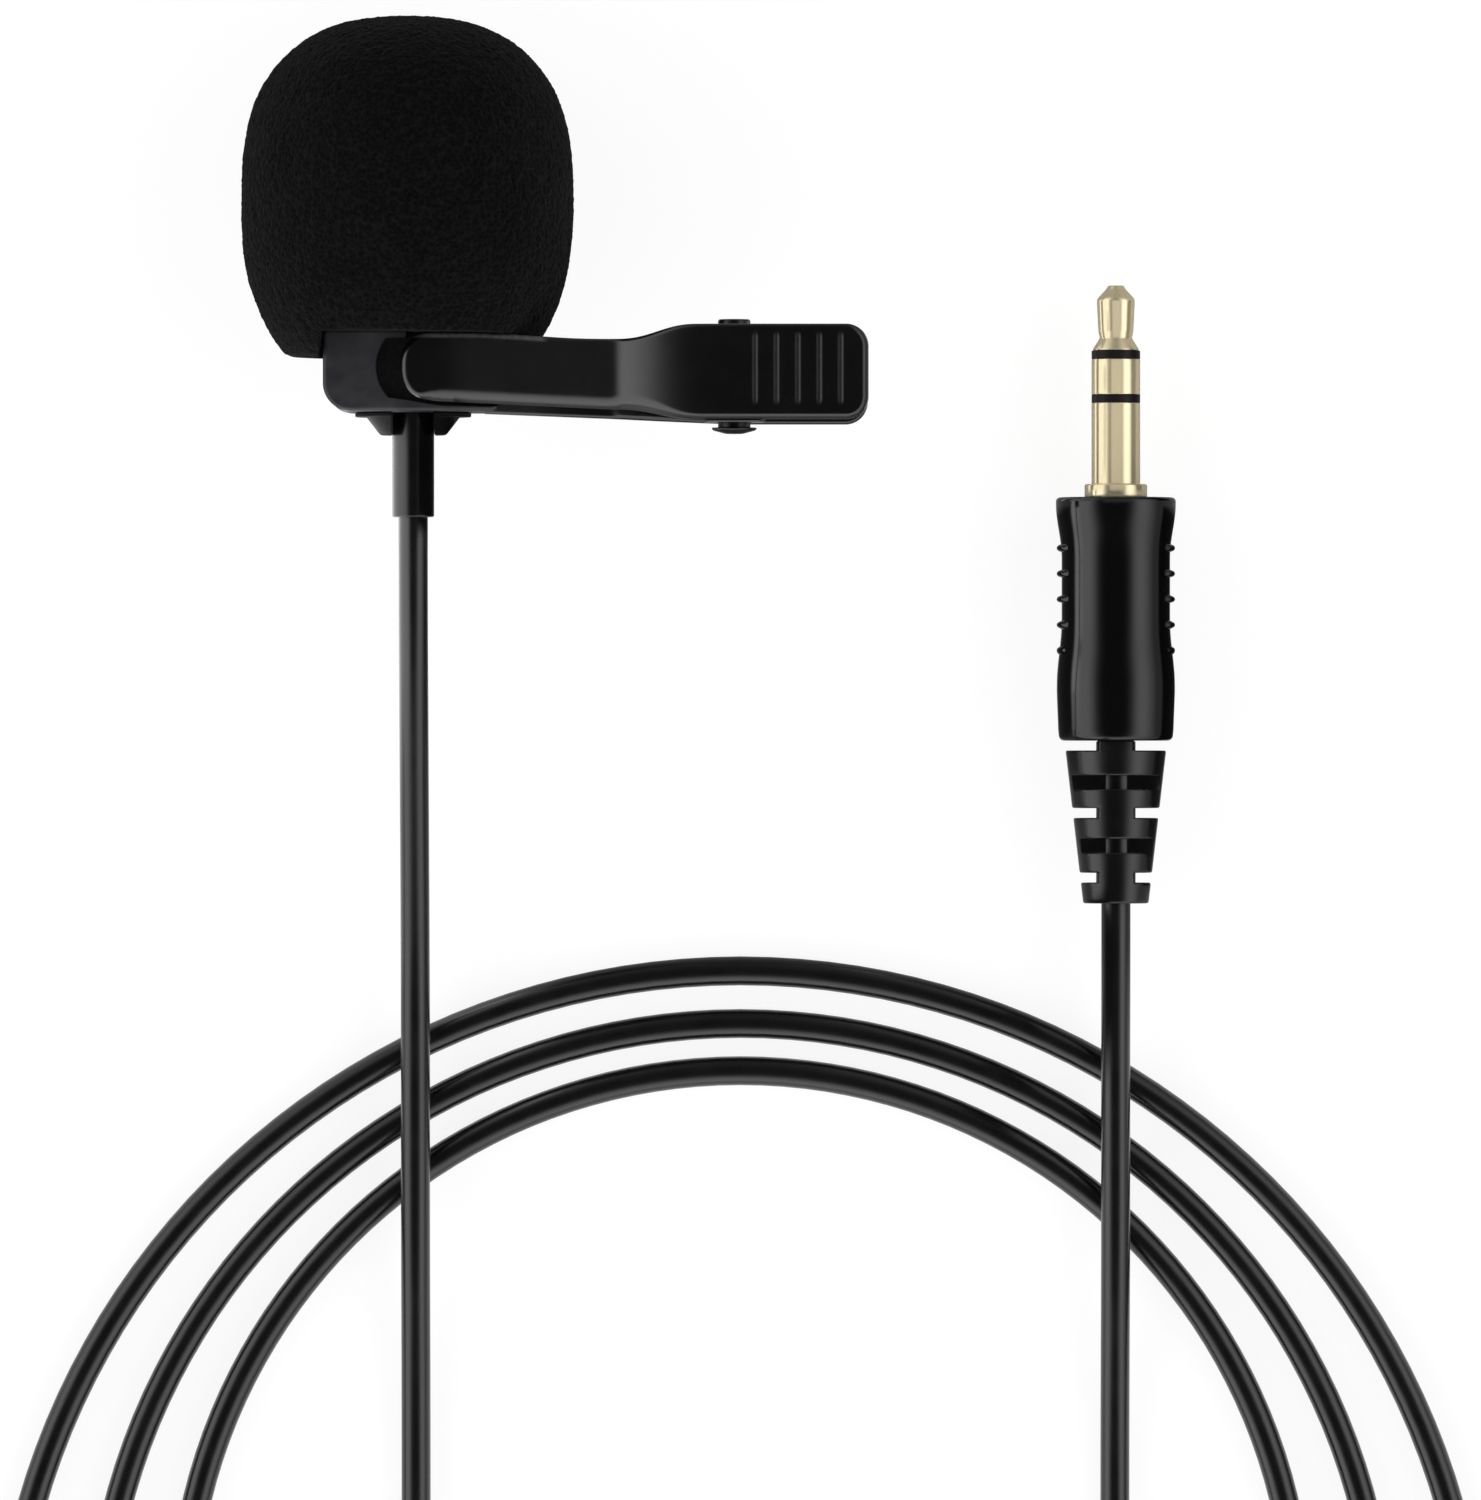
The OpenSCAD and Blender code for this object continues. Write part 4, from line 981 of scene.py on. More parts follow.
def rim_rows(c, outline, normals, bevel):
    """How far in from the outline and how far down from the face each row of the rim lies. A plain rim is a
    quarter circle. On a bevelled lever the lower edge blends into a slanted face with soft corners."""
    quarter = np.radians(np.linspace(0, 90, 14))[:, None]
    radius = c.edge + (c.end_edge - c.edge) * ease(np.abs(normals[:, 0])) * bevel
    rows_in, rows_down = radius * (1 - np.sin(quarter)), radius * (1 - np.cos(quarter))
    if bevel:
        narrow = ease((outline[:, 0] - c.flare_start - 0.6) / GROWTH)
        width = c.bevel_w + (c.grip_bevel - c.bevel_w) * narrow
        depth = c.bevel_d + (c.grip_bevel - c.bevel_d) * narrow
        t = np.linspace(0, 1, 13)
        slant = np.vstack([np.stack([1 - t, t ** 1.9], axis=1), [(0, 1.25)]])
        here = ease(-normals[:, 1]) * ease((outline[:, 0] + 0.6) / 3.2)
        rows_in = rows_in * (1 - here) + here * slant[:, :1] * width
        rows_down = rows_down * (1 - here) + here * slant[:, 1:] * depth
    return rows_in, rows_down


def lever(c, x0, below, tongue, face, inner, way, bevel):
    """A lever as one closed surface. Its front and inner faces are grids between the upper and the lower edge,
    and its rim is the outline carried through rim_rows. Heights follow spread(x), and a bevelled lever has
    ridges on its face."""
    up, low = lever_edges(c, x0, below, tongue)
    nu, nl = edge_normals(up, 1), edge_normals(low, -1)
    nu[-1], nl[-1] = (1, 0), (1, 0)
    if tongue:
        nu[0], nl[0] = (-1, 0), (-1, 0)
    cols = 41
    across = np.linspace(0, 1, cols)[:, None]
    right = (up[-1] * (1 - across) + low[-1] * across)[1:-1]
    left = np.zeros((0, 2)) if tongue else (low[0] * (1 - across) + up[0] * across)[1:-1]
    stop = -1 if tongue else None
    outline = np.vstack([up, right, low[::-1][:stop], left])
    normals = np.vstack([nu, np.tile((1.0, 0.0), (len(right), 1)), nl[::-1][:stop],
                         np.tile((-1.0, 0.0), (len(left), 1))])
    rows_in, rows_down = rim_rows(c, outline, normals, bevel)
    back_in, back_down = rim_rows(c, outline, normals, False)
    all_in = np.vstack([rows_in, back_in[::-1]])
    all_down = np.vstack([rows_down, abs(face - inner) - back_down[::-1]])
    rim_xy = outline[None] - all_in[..., None] * normals[None]
    height = face - way * all_down + way * spread(rim_xy[..., 0], c)
    rim = np.concatenate([rim_xy, height[..., None]], axis=-1)

    def face_grid(edge_row, level, ridges):
        """A face as a grid from the upper edge to the lower one."""
        n = len(up)
        top, rest = edge_row[:n, :2], edge_row[n + cols - 2:, :2]
        bottom = np.vstack([top[:1], rest[::-1]]) if tongue else rest[:n][::-1]
        t = np.linspace(0, 1, cols)[None, :, None]
        xy = top[:, None] * (1 - t) + bottom[:, None] * t
        z = level + way * (spread(xy[..., 0], c) + (c.rib_h * rib_shape(xy, c) if ridges else 0))
        return grid_patch(np.concatenate([xy, z[..., None]], axis=-1))

    front, back = face_grid(rim[0], face, bevel), face_grid(rim[-1], inner, False)
    wall = (rim.reshape(-1, 3), [ring_faces(*rim.shape[:2])])
    return together(front, (back[0], [f[:, ::-1] for f in back[1]]), wall)


def rib_shape(xy, c):
    """Ridges across the grip, from 0 to 1: a cosine wave over each rib's width, eased to nothing at its ends."""
    first = c.reach - c.grip_corner - 0.4 - c.rib_pitch * (c.rib_count - 1)
    at = first + c.rib_pitch * np.arange(c.rib_count)
    off = np.abs(xy[..., :1] - at).min(-1) / c.rib_w
    ridge = (1 + np.cos(np.pi * np.clip(off, 0, 1))) / 2
    room = np.minimum(c.rib_top - xy[..., 1], xy[..., 1] + c.rib_low)
    return ridge * ease(room / 0.3)


def lever_highlight(points, c):
    """How much painted highlight the front lever gets: a painted light line along its upper edge from the tongue
    to the end of the foam, faint painted lightening over the arm's face up to the flare, and on the ribs'
    crests.
    Points count from the levers' middle."""
    x, y, z = points.T
    near_face = ease((z - spread(x, c) - c.jaw_z - c.front_t + 0.5) / 0.3)
    edge = ease(1.3 - np.abs(half_up(x, c) - 0.13 - y) / 0.26) * ease((x + 0.6) / 0.8) * ease((9.8 - x) / 0.6)
    arm = 0.07 * ease((x - 1.5) / 3.0) * (1 - ease((x - c.flare_start + 0.5) / 1.5))
    ribs = 0.15 * rib_shape(points[:, :2], c) * (x > c.flare_end)
    return near_face * np.clip(0.85 * edge + arm + ribs, 0, 1)


def ear(c, out, root):
    """One ear: round the pin's hole, from the hole's edge to the ear's outline. The outline is a circle of the
    ear's radius, and on the lever's side a rectangle that reaches the root."""
    sides = 72
    angle = np.arange(sides) * 2 * np.pi / sides
    cos, sin = np.cos(angle), np.sin(angle) * np.sign(root)
    box = np.minimum(c.ear_r / np.maximum(np.abs(cos), 1e-6), abs(root) / np.maximum(sin, 1e-6))
    outer = np.where(sin > 0, np.minimum(box, 9.0), c.ear_r)
    t, r = c.ear_t / 2, 0.1
    rows = [(0, 0, -t + r), (0, 0, t - r), (0, r, t), (1, -r, t), (1, 0, t - r), (1, 0, -t + r), (1, -r, -t),
            (0, r, -t)]
    hole = c.pin_r + 0.05
    radius = np.array([(1 - k) * hole + k * outer + d for k, d, _ in rows])
    y = np.array([h for _, _, h in rows])[:, None] + 0 * angle
    rings = np.stack([c.pin_x + radius * np.cos(angle), out - t + y, c.pin_z + radius * np.sin(angle)], axis=-1)
    return outward(closed_loop(rings))


def tooth_row(c, base, way):
    """Jaw teeth: each a small three-sided ridge across the arm, closed, with a rounded top and smaller ends."""
    foot, root = 0.8, 0.15
    ridge = round_off([(0, -root), (foot, -root), (foot / 2, c.tooth_h)], 0.06, 3, closed=True)
    y = np.repeat(np.array([-2.0, -1.9, 1.9, 2.0])[:, None], len(ridge), 1)
    shrink = np.array([0.85, 1, 1, 0.85])[:, None, None]
    ring = ridge.mean(0) + (ridge[None] - ridge.mean(0)) * shrink
    first = c.block_right + foot
    return [outward(closed_tube(np.stack([first + c.tooth_pitch * i + ring[..., 0], y,
                                          base + way * ring[..., 1]], axis=-1)))
            for i in range(c.tooth_count)]


class LAV_OT_clip(Operator):
    """Makes the clip: holder block with its back lever, front lever, hinge pin and spring"""
    bl_idname = "lav.clip"
    bl_label = "Clip"

    def execute(self, context):
        c, origin = read("lav_clip"), mic_origin()
        levers = origin - (0, c.drop, 0)
        ear_out = c.grip_half - 0.05
        ear_in = ear_out - c.ear_t - c.ear_gap
        face, inner = c.jaw_z + c.front_t, c.jaw_z
        tongue_x = c.tongue_tip + (c.tongue_half + c.tongue_low) / 2
        front = lever(c, tongue_x, half_front, True, face, inner, 1, True)
        root = inner + c.flare_rise + ROOT_ROOM - c.pin_z
        parts = [ear(c, ear_out, root), ear(c, -ear_out + c.ear_t, root),
                 *tooth_row(c, c.jaw_z + 0.05, -1)]
        piece = make_piece("clip_front_lever", placed(together(front, *parts), levers), "satin", "lever",
                           merge=True, nodes=("front_lever",))
        # Painted highlight on the front lever: a light line along the upper edge, the arm's face and the rib
        # crests
        self.wear(piece, lever_highlight(self.points(piece) - levers, c))
        back_face = c.jaw_z - c.arm_gap
        back = lever(c, c.block_right - 1, half_back, False, back_face - c.back_t, back_face, -1, False)
        root = back_face - c.flare_rise - ROOT_ROOM - c.pin_z
        parts = [ear(c, ear_in, root), ear(c, -ear_in + c.ear_t, root), *tooth_row(c, back_face, 1)]
        piece = make_piece("clip_back_lever", placed(together(back, *parts), levers), "satin", "clip",
                           merge=True)
        # Painted lighter band on the back lever next to the block, fading out over 7 mm
        along = self.points(piece)[:, 0] - origin[0]
        self.wear(piece, 0.22 * (1 - ease((along - c.block_right) / 7.0)))
        self.block(c, origin)
        self.pin(c, origin)
        self.spring(c, levers)
        return {"FINISHED"}

    def points(self, piece):
        """A piece's vertices in millimetres."""
        points = np.empty(len(piece.data.vertices) * 3)
        piece.data.vertices.foreach_get("co", points)
        return points.reshape(-1, 3) / MM

    def wear(self, piece, values):
        """Gives each vertex how far its colour goes towards the finish's painted light tone: painted highlight
        on the levers, painted shade inside the block's pocket.
        """
        piece.data.attributes.new("wear", "FLOAT", "POINT").data.foreach_set("value", values)

    def block(self, c, origin):
        """The holder block: a rounded plate with the bore and the tongue's pocket cut from it."""
        half_h, half_d, e = c.block_h / 2, c.block_d / 2, c.edge
        corners = [(-c.block_left, -half_h), (c.block_right, -half_h), (c.block_right, half_h),
                   (-c.block_left, half_h)]
        line = round_off(corners, [c.block_corner, 0.5, 0.4, 0.4], 12, closed=True)
        inner = round_off(np.array(corners) + np.array([(e, e), (-e, e), (-e, -e), (e, -e)]),
                          [c.block_corner - e, 0.2, 0.1, 0.1], 12, closed=True)
        q = np.radians(np.linspace(0, 90, 6))
        rows = [(1 - np.sin(a), half_d - e * (1 - np.cos(a))) for a in q]
        rows += [(k, -z) for k, z in rows[::-1]]
        rings = np.stack([np.concatenate([line * (1 - k) + inner * k, np.full((len(line), 1), z)], axis=1)
                          for k, z in rows])
        piece = make_piece("clip_block", placed(outward(closed_tube(rings)), origin), "block", "clip",
                           nodes=("holder_lever",))
        bore = turned([(c.bore_r, -6), (c.bore_r, 6)], TURNED_SIDES)
        self.cut(piece, placed(outward(closed_tube(bore)), origin), "bore")
        self.cut(piece, placed(outward(flat_ended(self.pocket(c))), origin), "pocket")
        least_area, least_part = 0.5e-6, 0.9999    # in square metres; of the normal along one axis
        large = np.array([p.area for p in piece.data.polygons]) > least_area
        flat = np.array([max(abs(v) for v in p.normal) for p in piece.data.polygons]) > least_part
        piece.data.polygons.foreach_set("use_smooth", ~(large & flat))
        # Painted shade inside the tongue's pocket: its walls and floor take the dark pocket tone
        height = self.points(piece)[:, 2] - origin[2]
        self.wear(piece, ((height < half_d - 0.2) & (height > c.pocket_z - 0.01)).astype(float))
        # Large flat faces keep their own normals where a rounded edge meets them
        piece.modifiers.new("flat faces", "WEIGHTED_NORMAL").keep_sharp = True

    def pocket(self, c):
        """The tongue's pocket as levels of one outline: an arc round its left, a slanted lower edge, and open
        to the right and, behind the tongue's round end, upwards. It widens a little at the front."""
        x = c.tongue_tip - c.pocket_room + c.pocket_r
        start, end = np.arcsin((c.pocket_top - c.pocket_y) / c.pocket_r), np.radians(224)
        angle = np.linspace(np.pi - start, end, 41)
        arc = np.stack([x + c.pocket_r * np.cos(angle), c.pocket_y + c.pocket_r * np.sin(angle)], axis=1)
        rest = [(-0.3, -2.12), (1.0, -2.35), (2.2, 0.1 - c.pocket_low), (c.block_right, -c.pocket_low),
                (20, -c.pocket_low), (20, 6), (c.tongue_tip + 0.45, 6), (c.tongue_tip + 0.45, c.pocket_top)]
        radii = [0.4] + [0] * (len(arc) - 1) + [1.5, 2.0, 2.0, 0, 0, 0, 0, 0.15]
        line = round_off(np.vstack([arc, rest]), radii, 4, closed=True)
        front = c.block_d / 2
        middle = np.array([3.0, 1.0])
        levels = [(0.0, c.pocket_z), (0.0, front - 0.12), (0.03, front - 0.04), (0.08, front), (0.08, front + 2)]
        away = (line - middle) / np.linalg.norm(line - middle, axis=1)[:, None]
        return np.stack([np.concatenate([line + grow * away, np.full((len(line), 1), z)], axis=1)
                         for grow, z in levels])

    def cut(self, piece, shape, name):
        """Cuts a closed shape out of a piece and keeps the result as its mesh."""
        tool = add_object(name, new_mesh(name, in_metres(shape)))
        step = piece.modifiers.new(name, "BOOLEAN")
        step.operation, step.solver, step.object = "DIFFERENCE", "EXACT", tool
        bpy.context.view_layer.update()
        result = bpy.data.meshes.new_from_object(piece.evaluated_get(bpy.context.evaluated_depsgraph_get()))
        piece.modifiers.remove(step)
        piece.data = result
        bpy.data.objects.remove(tool)
        smooth(result)

    def pin(self, c, origin):
        """The hinge pin: a shank with a rounded upper end and a domed head below."""
        neck, foot = c.pin_low, c.pin_low - c.head_t
        profile = round_off([(0, c.pin_high), (c.pin_r, c.pin_high), (c.pin_r, neck), (c.head_r, neck),
                             (c.head_r - 0.12, neck - c.head_t * 0.45), (0.6, foot), (0, foot)],
                            [0, 0.15, 0.05, 0.08, 0.35, 0.8, 0], 5)[1:-1]
        shape = placed(outward(closed_tube(turned(finer(profile, 0.8), 64))), origin)
        make_piece("clip_pin", placed(shape, (c.pin_x, 0, c.pin_z)), "black_steel", "clip",
                   nodes=("hinge_pin",))

    def spring(self, c, origin):
        """The torsion spring: a leg, the curls round the pin, and the other leg. The curls turn at an even
        pitch, and each leg leaves them along their tangent. The upper leg moves with the front lever, so it is a
        piece of its own, which starts inside the curls' end and slides out of it as they wind up."""
        room = c.jaw_z + c.flare_rise - c.pin_z - c.curl_r - c.wire_r - ROOT_ROOM
        lean = np.degrees(np.arcsin(room / c.leg))
        a0, a1 = -90 - lean, 90 + lean + 360 * c.curls
        half = (a1 - a0) / 360 * c.curl_pitch / 2

        def curl(start, end, points):
            """Part of the curls, between two angles."""
            t = np.linspace((start - a0) / (a1 - a0), (end - a0) / (a1 - a0), points)
            a = np.radians(a0 + (a1 - a0) * t)
            return np.stack([-c.curl_r * np.cos(a), half * (2 * t - 1), c.curl_r * np.sin(a)], axis=1)

        reach = np.array([np.cos(np.radians(lean)), 0, np.sin(np.radians(lean))])
        s = np.linspace(1, 0, 9)[:-1, None]
        inside = 34    # degrees of the last curl that the upper leg fills
        curls, wound = curl(a0, a1, 24 * c.curls + 12), curl(a1 - inside, a1, 8)
        lower = np.vstack([curls[0] + s * c.leg * reach * (1, 1, -1), curls])
        upper = np.vstack([wound, wound[-1] + s[::-1] * c.leg * reach])
        thin = c.wire_r * np.where(np.arange(len(upper)) < len(wound), 0.92, 1.0)
        for name, line, radius, body, nodes in (("clip_spring", lower, c.wire_r, "clip", ("torsion_spring",)),
                                                ("clip_spring_leg", upper, thin, "lever", ())):
            rings = carried(line + (c.pin_x, 0, c.pin_z), radius, 14, (0, 1, 0))
            make_piece(name, placed(outward(closed_tube(rings)), origin), "steel", body,
                       nodes=nodes)


# ---- Plug ----

RELIEF_SLOTS = np.array([0.0, 2.5, 4.85, 7.05, 9.5])    # where the strain relief's slots start, in millimetres


class LAV_OT_plug(Operator):
    """Makes the plug: three gold contacts, two black bands, the grip and its slotted strain relief"""
    bl_idname = "lav.plug"
    bl_label = "Plug"

    def execute(self, context):
        p, origin = read("lav_plug"), plug_origin()
        sleeve_top = p.flange_t + p.sleeve_l
        ring_low = sleeve_top + p.band_l
        ring_top = ring_low + p.ring_l
        tip_low = ring_top + p.band_l
        liner = p.contact_r - p.wall - p.gap
        tube = liner - p.wall - 2 * p.gap
        core = tube - p.wall
        lug = 4.0    # how far the contacts' tails reach behind the flange

        def add(name, profile, colours, node, radius=0.06, loop=True):
            """Makes one turned piece, as a tube with a bore or, where loop is off, without one."""
            line = round_off(profile, radius, 5, closed=loop)
            if loop:
                shape = closed_loop(turned(line, TURNED_SIDES))
            else:
                shape = closed_tube(turned(finer(line[1:-1], 1.5), TURNED_SIDES))
            make_piece(name, placed(outward(shape), origin), colours, "microphone", nodes=(node,))

        top = tip_low + p.tip_l
        tip = [(0, top), (0.55, top - 0.02), (0.72, top - 0.3), (p.head_r, top - 1.0),
               (p.head_r - 0.06, top - 2.2), (p.waist_r + 0.1, tip_low + 1.4), (p.waist_r, tip_low + 0.92),
               (p.waist_r + 0.06, tip_low + 0.8), (p.contact_r - 0.03, tip_low), (p.rod_r, tip_low),
               (p.rod_r, -lug - 1), (0, -lug - 1)]
        add("plug_tip_contact", tip, "gold", "plug_tip",
            [0, 0.1, 0.3, 0.5, 1.0, 1.0, 0.12, 0.12, 0.08, 0.02, 0.1, 0], loop=False)
        add("plug_band_front", [(p.rod_r + p.gap, tip_low), (p.contact_r, tip_low), (p.contact_r, ring_top),
                                (core - p.gap, ring_top), (core - p.gap, 1 - lug), (p.rod_r + p.gap, 1 - lug)],
            "band", "tip_insulator", 0.04)
        add("plug_ring_contact", [(core, ring_top), (p.contact_r, ring_top), (p.contact_r, ring_low),
                                  (tube, ring_low), (tube, 2 - lug), (core, 2 - lug)],
            "gold", "plug_ring")
        add("plug_band_rear", [(tube + p.gap, ring_low), (p.contact_r, ring_low), (p.contact_r, sleeve_top),
                               (liner, sleeve_top), (liner, 0), (tube + p.gap, 0)], "band",
            "ring_insulator", 0.04)
        inner = p.contact_r - p.wall
        add("plug_sleeve_contact", [(inner, sleeve_top), (p.contact_r, sleeve_top), (p.contact_r, p.flange_t),
                                    (p.flange_r, p.flange_t), (p.flange_r, 0.001), (inner, 0.001)],
            "gold", "plug_sleeve", [0.05, 0.06, 0.05, 0.12, 0.1, 0.02])
        self.grip(p, origin)
        self.relief(p, origin)
        return {"FINISHED"}

    def grip_radius(self, s, p):
        """Radius of the grip at distance s behind its front face: wide ends and a gentle waist between them."""
        t = s / p.grip_l
        front = p.grip_r + (p.grip_waist - p.grip_r) * ease(t / 0.27)
        rear = p.grip_waist + (p.grip_r - 0.07 - p.grip_waist) * ease((t - 0.48) / 0.32)
        foot = p.grip_r - 0.07 - 0.13 * (t - 0.8) / 0.2
        return np.where(t < 0.27, front, np.where(t < 0.48, p.grip_waist, np.where(t < 0.8, rear, foot)))

    def grip(self, p, origin):
        """The grip: its outside follows grip_radius, and small ridges stand on both sides. Each ridge is half an
        ellipse along the grip and fades out round it."""
        s = np.linspace(0.35, p.grip_l - 0.35, 240)
        outer = np.stack([self.grip_radius(s, p), -s], axis=1)
        front = round_off([(p.hollow_r, 0), (self.grip_radius(0.0, p), 0), outer[6]], 0.3, 6)
        foot = (self.grip_radius(p.grip_l, p) - 0.05, -p.grip_l)
        back = round_off([outer[-7], foot, (0.5, -p.grip_l)], 0.4, 6)
        cable_hole, wall_top = 1.08, 1.6 - p.grip_l
        inside = [(cable_hole, -p.grip_l), (cable_hole, wall_top), (p.hollow_r, wall_top)]
        line = np.vstack([[(p.hollow_r, -0.1)], front[1:-1], outer[6:-6], back[1:-1], finer(inside, 2.0)])
        at = p.rib_first + p.rib_pitch * np.arange(p.rib_count)

        def ridges(r, y, angle):
            """Adds the ridges to the grip's radius."""
            off = np.abs(-y[..., None] - at).min(-1) / p.rib_w
            ridge = np.clip(1 - off ** 2, 0, 1) ** 0.5
            side = ease((np.abs(np.cos(angle)) - np.cos(np.radians(29))) / 0.09)
            stands = np.maximum(p.rib_r - r, 0) * ridge * side
            return np.where(r > p.grip_waist - 0.3, r + stands, r)

        grip = outward(closed_loop(turned(line, 160, ridges)))
        make_piece("plug_grip_body", placed(grip, origin), "gloss", "microphone", sharp=40,
                   nodes=("plug_grip",))

    def relief(self, p, origin):
        """The strain relief: a cone whose radius, where a slot crosses it, is cut back to a flat web. Webs lie
        across in one slot and front to back in the next, round a round core."""
        slots = RELIEF_SLOTS
        tall = np.where(np.arange(len(slots)) % 2 == 0, p.side_slot_h, p.front_slot_h)
        s = np.unique(np.round(np.concatenate(
            [[0.0, 0.05, 0.12, p.relief_l - 0.2, p.relief_l - 0.08, p.relief_l - 0.02, p.relief_l]]
            + [k + np.array([-0.25, -0.12, -0.04, -0.005, 0.0, 0.06]) for k in slots]
            + [k + np.array([-0.06, 0.0, 0.005, 0.04, 0.12, 0.25]) for k in slots + tall]
            + [np.linspace(0, p.relief_l, 30)]), 4))
        s = s[s >= 0]
        radius = p.relief_r + (p.relief_end_r - p.relief_r) * s / p.relief_l
        line = np.stack([radius, -p.grip_l - s], axis=1)

        core, edge = 1.42, 0.14

        def rounded(near):
            """How far an edge's quarter circle lies below the corner, this near to it."""
            drop = edge - np.sqrt(np.maximum(edge ** 2 - (edge - near) ** 2, 0))
            return np.where(near < edge, drop, 0)

        def slotted(r, y, angle):
            """Cuts the slots into the cone's radius, and rounds all edges."""
            d, cone = -y - p.grip_l, r
            for i, (start, high) in enumerate(zip(slots, tall)):
                wave = np.abs(np.cos(angle)) if i % 2 == 0 else np.abs(np.sin(angle))
                web = np.minimum(cone, np.maximum(p.web_half / np.maximum(wave, 1e-6), core))
                inside = (d > start - 0.002) & (d < start + high + 0.002)
                soft = rounded(np.minimum(np.abs(d - start), np.abs(d - start - high)))
                r = np.where(inside, np.minimum(r, web), np.where(cone - web > 0.2, r - soft, r))
            return r - rounded(np.minimum(d, p.relief_l - d))

        shape = outward(closed_tube(turned(line, 144, slotted)))
        make_piece("plug_relief", placed(shape, origin), "rubber", "microphone", sharp=35,
                   nodes=("plug_strain_relief",))


# ---- Inner parts ----

# Nodes of the frame that keep their own shape, and their finishes
KEPT = {
    "grille_cap": "steel", "dust_screen": "felt", "capsule_can": "steel", "capsule_board": "board",
    "capsule_sleeve": "rubber", "mic_wires": "wire", "cable_crimp": "steel", "rear_insulator": "band",
    "plug_lugs": "steel", "plug_wires": "wire", "plug_crimp": "steel",
}


class LAV_OT_inner(Operator):
    """Gives the parts inside the barrel and the grip their finishes"""
    bl_idname = "lav.inner"
    bl_label = "Inner parts"

    def execute(self, context):
        for name, colours in KEPT.items():
            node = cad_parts[name]
            node.data.materials.clear()
            node.data.materials.append(finish(colours))
        for name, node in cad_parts.items():
            if name not in KEPT and not node.hide_render:
                raise RuntimeError(f"{name} has no piece and no finish")
        return {"FINISHED"}


# ---- Stage ----

WHITE = (1.0, 1.0, 1.0, 1.0)

# The studio's brightness on each side: angles from straight up in degrees, and the brightness there
STUDIO = {
    "left": ([18, 26, 30, 34, 39, 43, 48, 57, 64, 79, 90],
             [0.07, 0.09, 0.15, 0.26, 0.5, 0.9, 1.4, 2.05, 2.1, 1.9, 1.8]),
    "right": ([16, 23, 30, 36, 42, 50, 60, 67, 77, 84, 90],
              [0.07, 0.15, 0.45, 1.0, 1.6, 2.0, 1.9, 1.5, 0.9, 0.5, 0.35]),
    "front": ([15, 25, 35, 45, 60, 75, 90], [0.07, 0.08, 0.2, 0.8, 1.6, 1.9, 1.9]),
    "back": ([20, 45, 70, 90], [0.07, 0.12, 0.25, 0.3]),
}


# Soft-edged cards close to the object that only its gloss sees: the place that each counts from, its lowest and
# highest corner in millimetres, its brightness, and the shares of its length and of its height or width over
# which it fades in at the start and out at the end
CARDS = {
    "relief_left": ("mic", (-5.5, -36.0, 0.0), (-5.5, -3.4, 28.0), 2.5, (0.55, 0.03), (0.0, 0.55)),
    "relief_right": ("mic", (2.9, -12.0, 9.0), (2.9, -3.2, 19.0), 0.02, (0.15, 0.03), (0.12, 0.3)),
    "cable_floor": ("mic", (-40.0, -48.0, 0.06), (12.0, -11.5, 0.06), 1.3, (0.2, 0.05), (0.2, 0.3)),
    "coil_floor": ("mic", (-75.0, -215.0, 0.05), (110.0, -41.0, 0.05), 0.9, (0.1, 0.05), (0.1, 0.1)),
    "grip_floor_left": ("plug", (-46.0, -29.4, 0.05), (-4.5, -0.5, 0.05), 0.06, (0.5, 0.02), (0.3, 0.02)),
    "grip_floor_right": ("plug", (4.5, -29.4, 0.05), (40.0, -0.5, 0.05), 0.02, (0.05, 0.05), (0.02, 0.3)),
    "plug_cable_left": ("plug", (-4.5, -44.0, 3.5), (-4.5, -29.2, 20.0), 0.05, (0.4, 0.05), (0.1, 0.4)),
    "contact_top": ("plug", (-11.0, 0.5, 26.0), (12.0, 22.0, 26.0), 0.6, (0.05, 0.1), (0.15, 0.15)),
    "contact_side": ("plug", (-9.6, 0.2, 0.1), (-9.6, 18.0, 16.0), 1.5, (0.01, 0.1), (0.01, 0.5)),
    "contact_left": ("plug", (-9.0, 0.2, 2.6), (-9.0, 16.6, 6.0), 0.05, (0.02, 0.1), (0.2, 0.35)),
    "contact_right": ("plug", (7.5, 0.2, 3.0), (7.5, 16.6, 8.0), 0.0, (0.02, 0.1), (0.15, 0.3)),
}


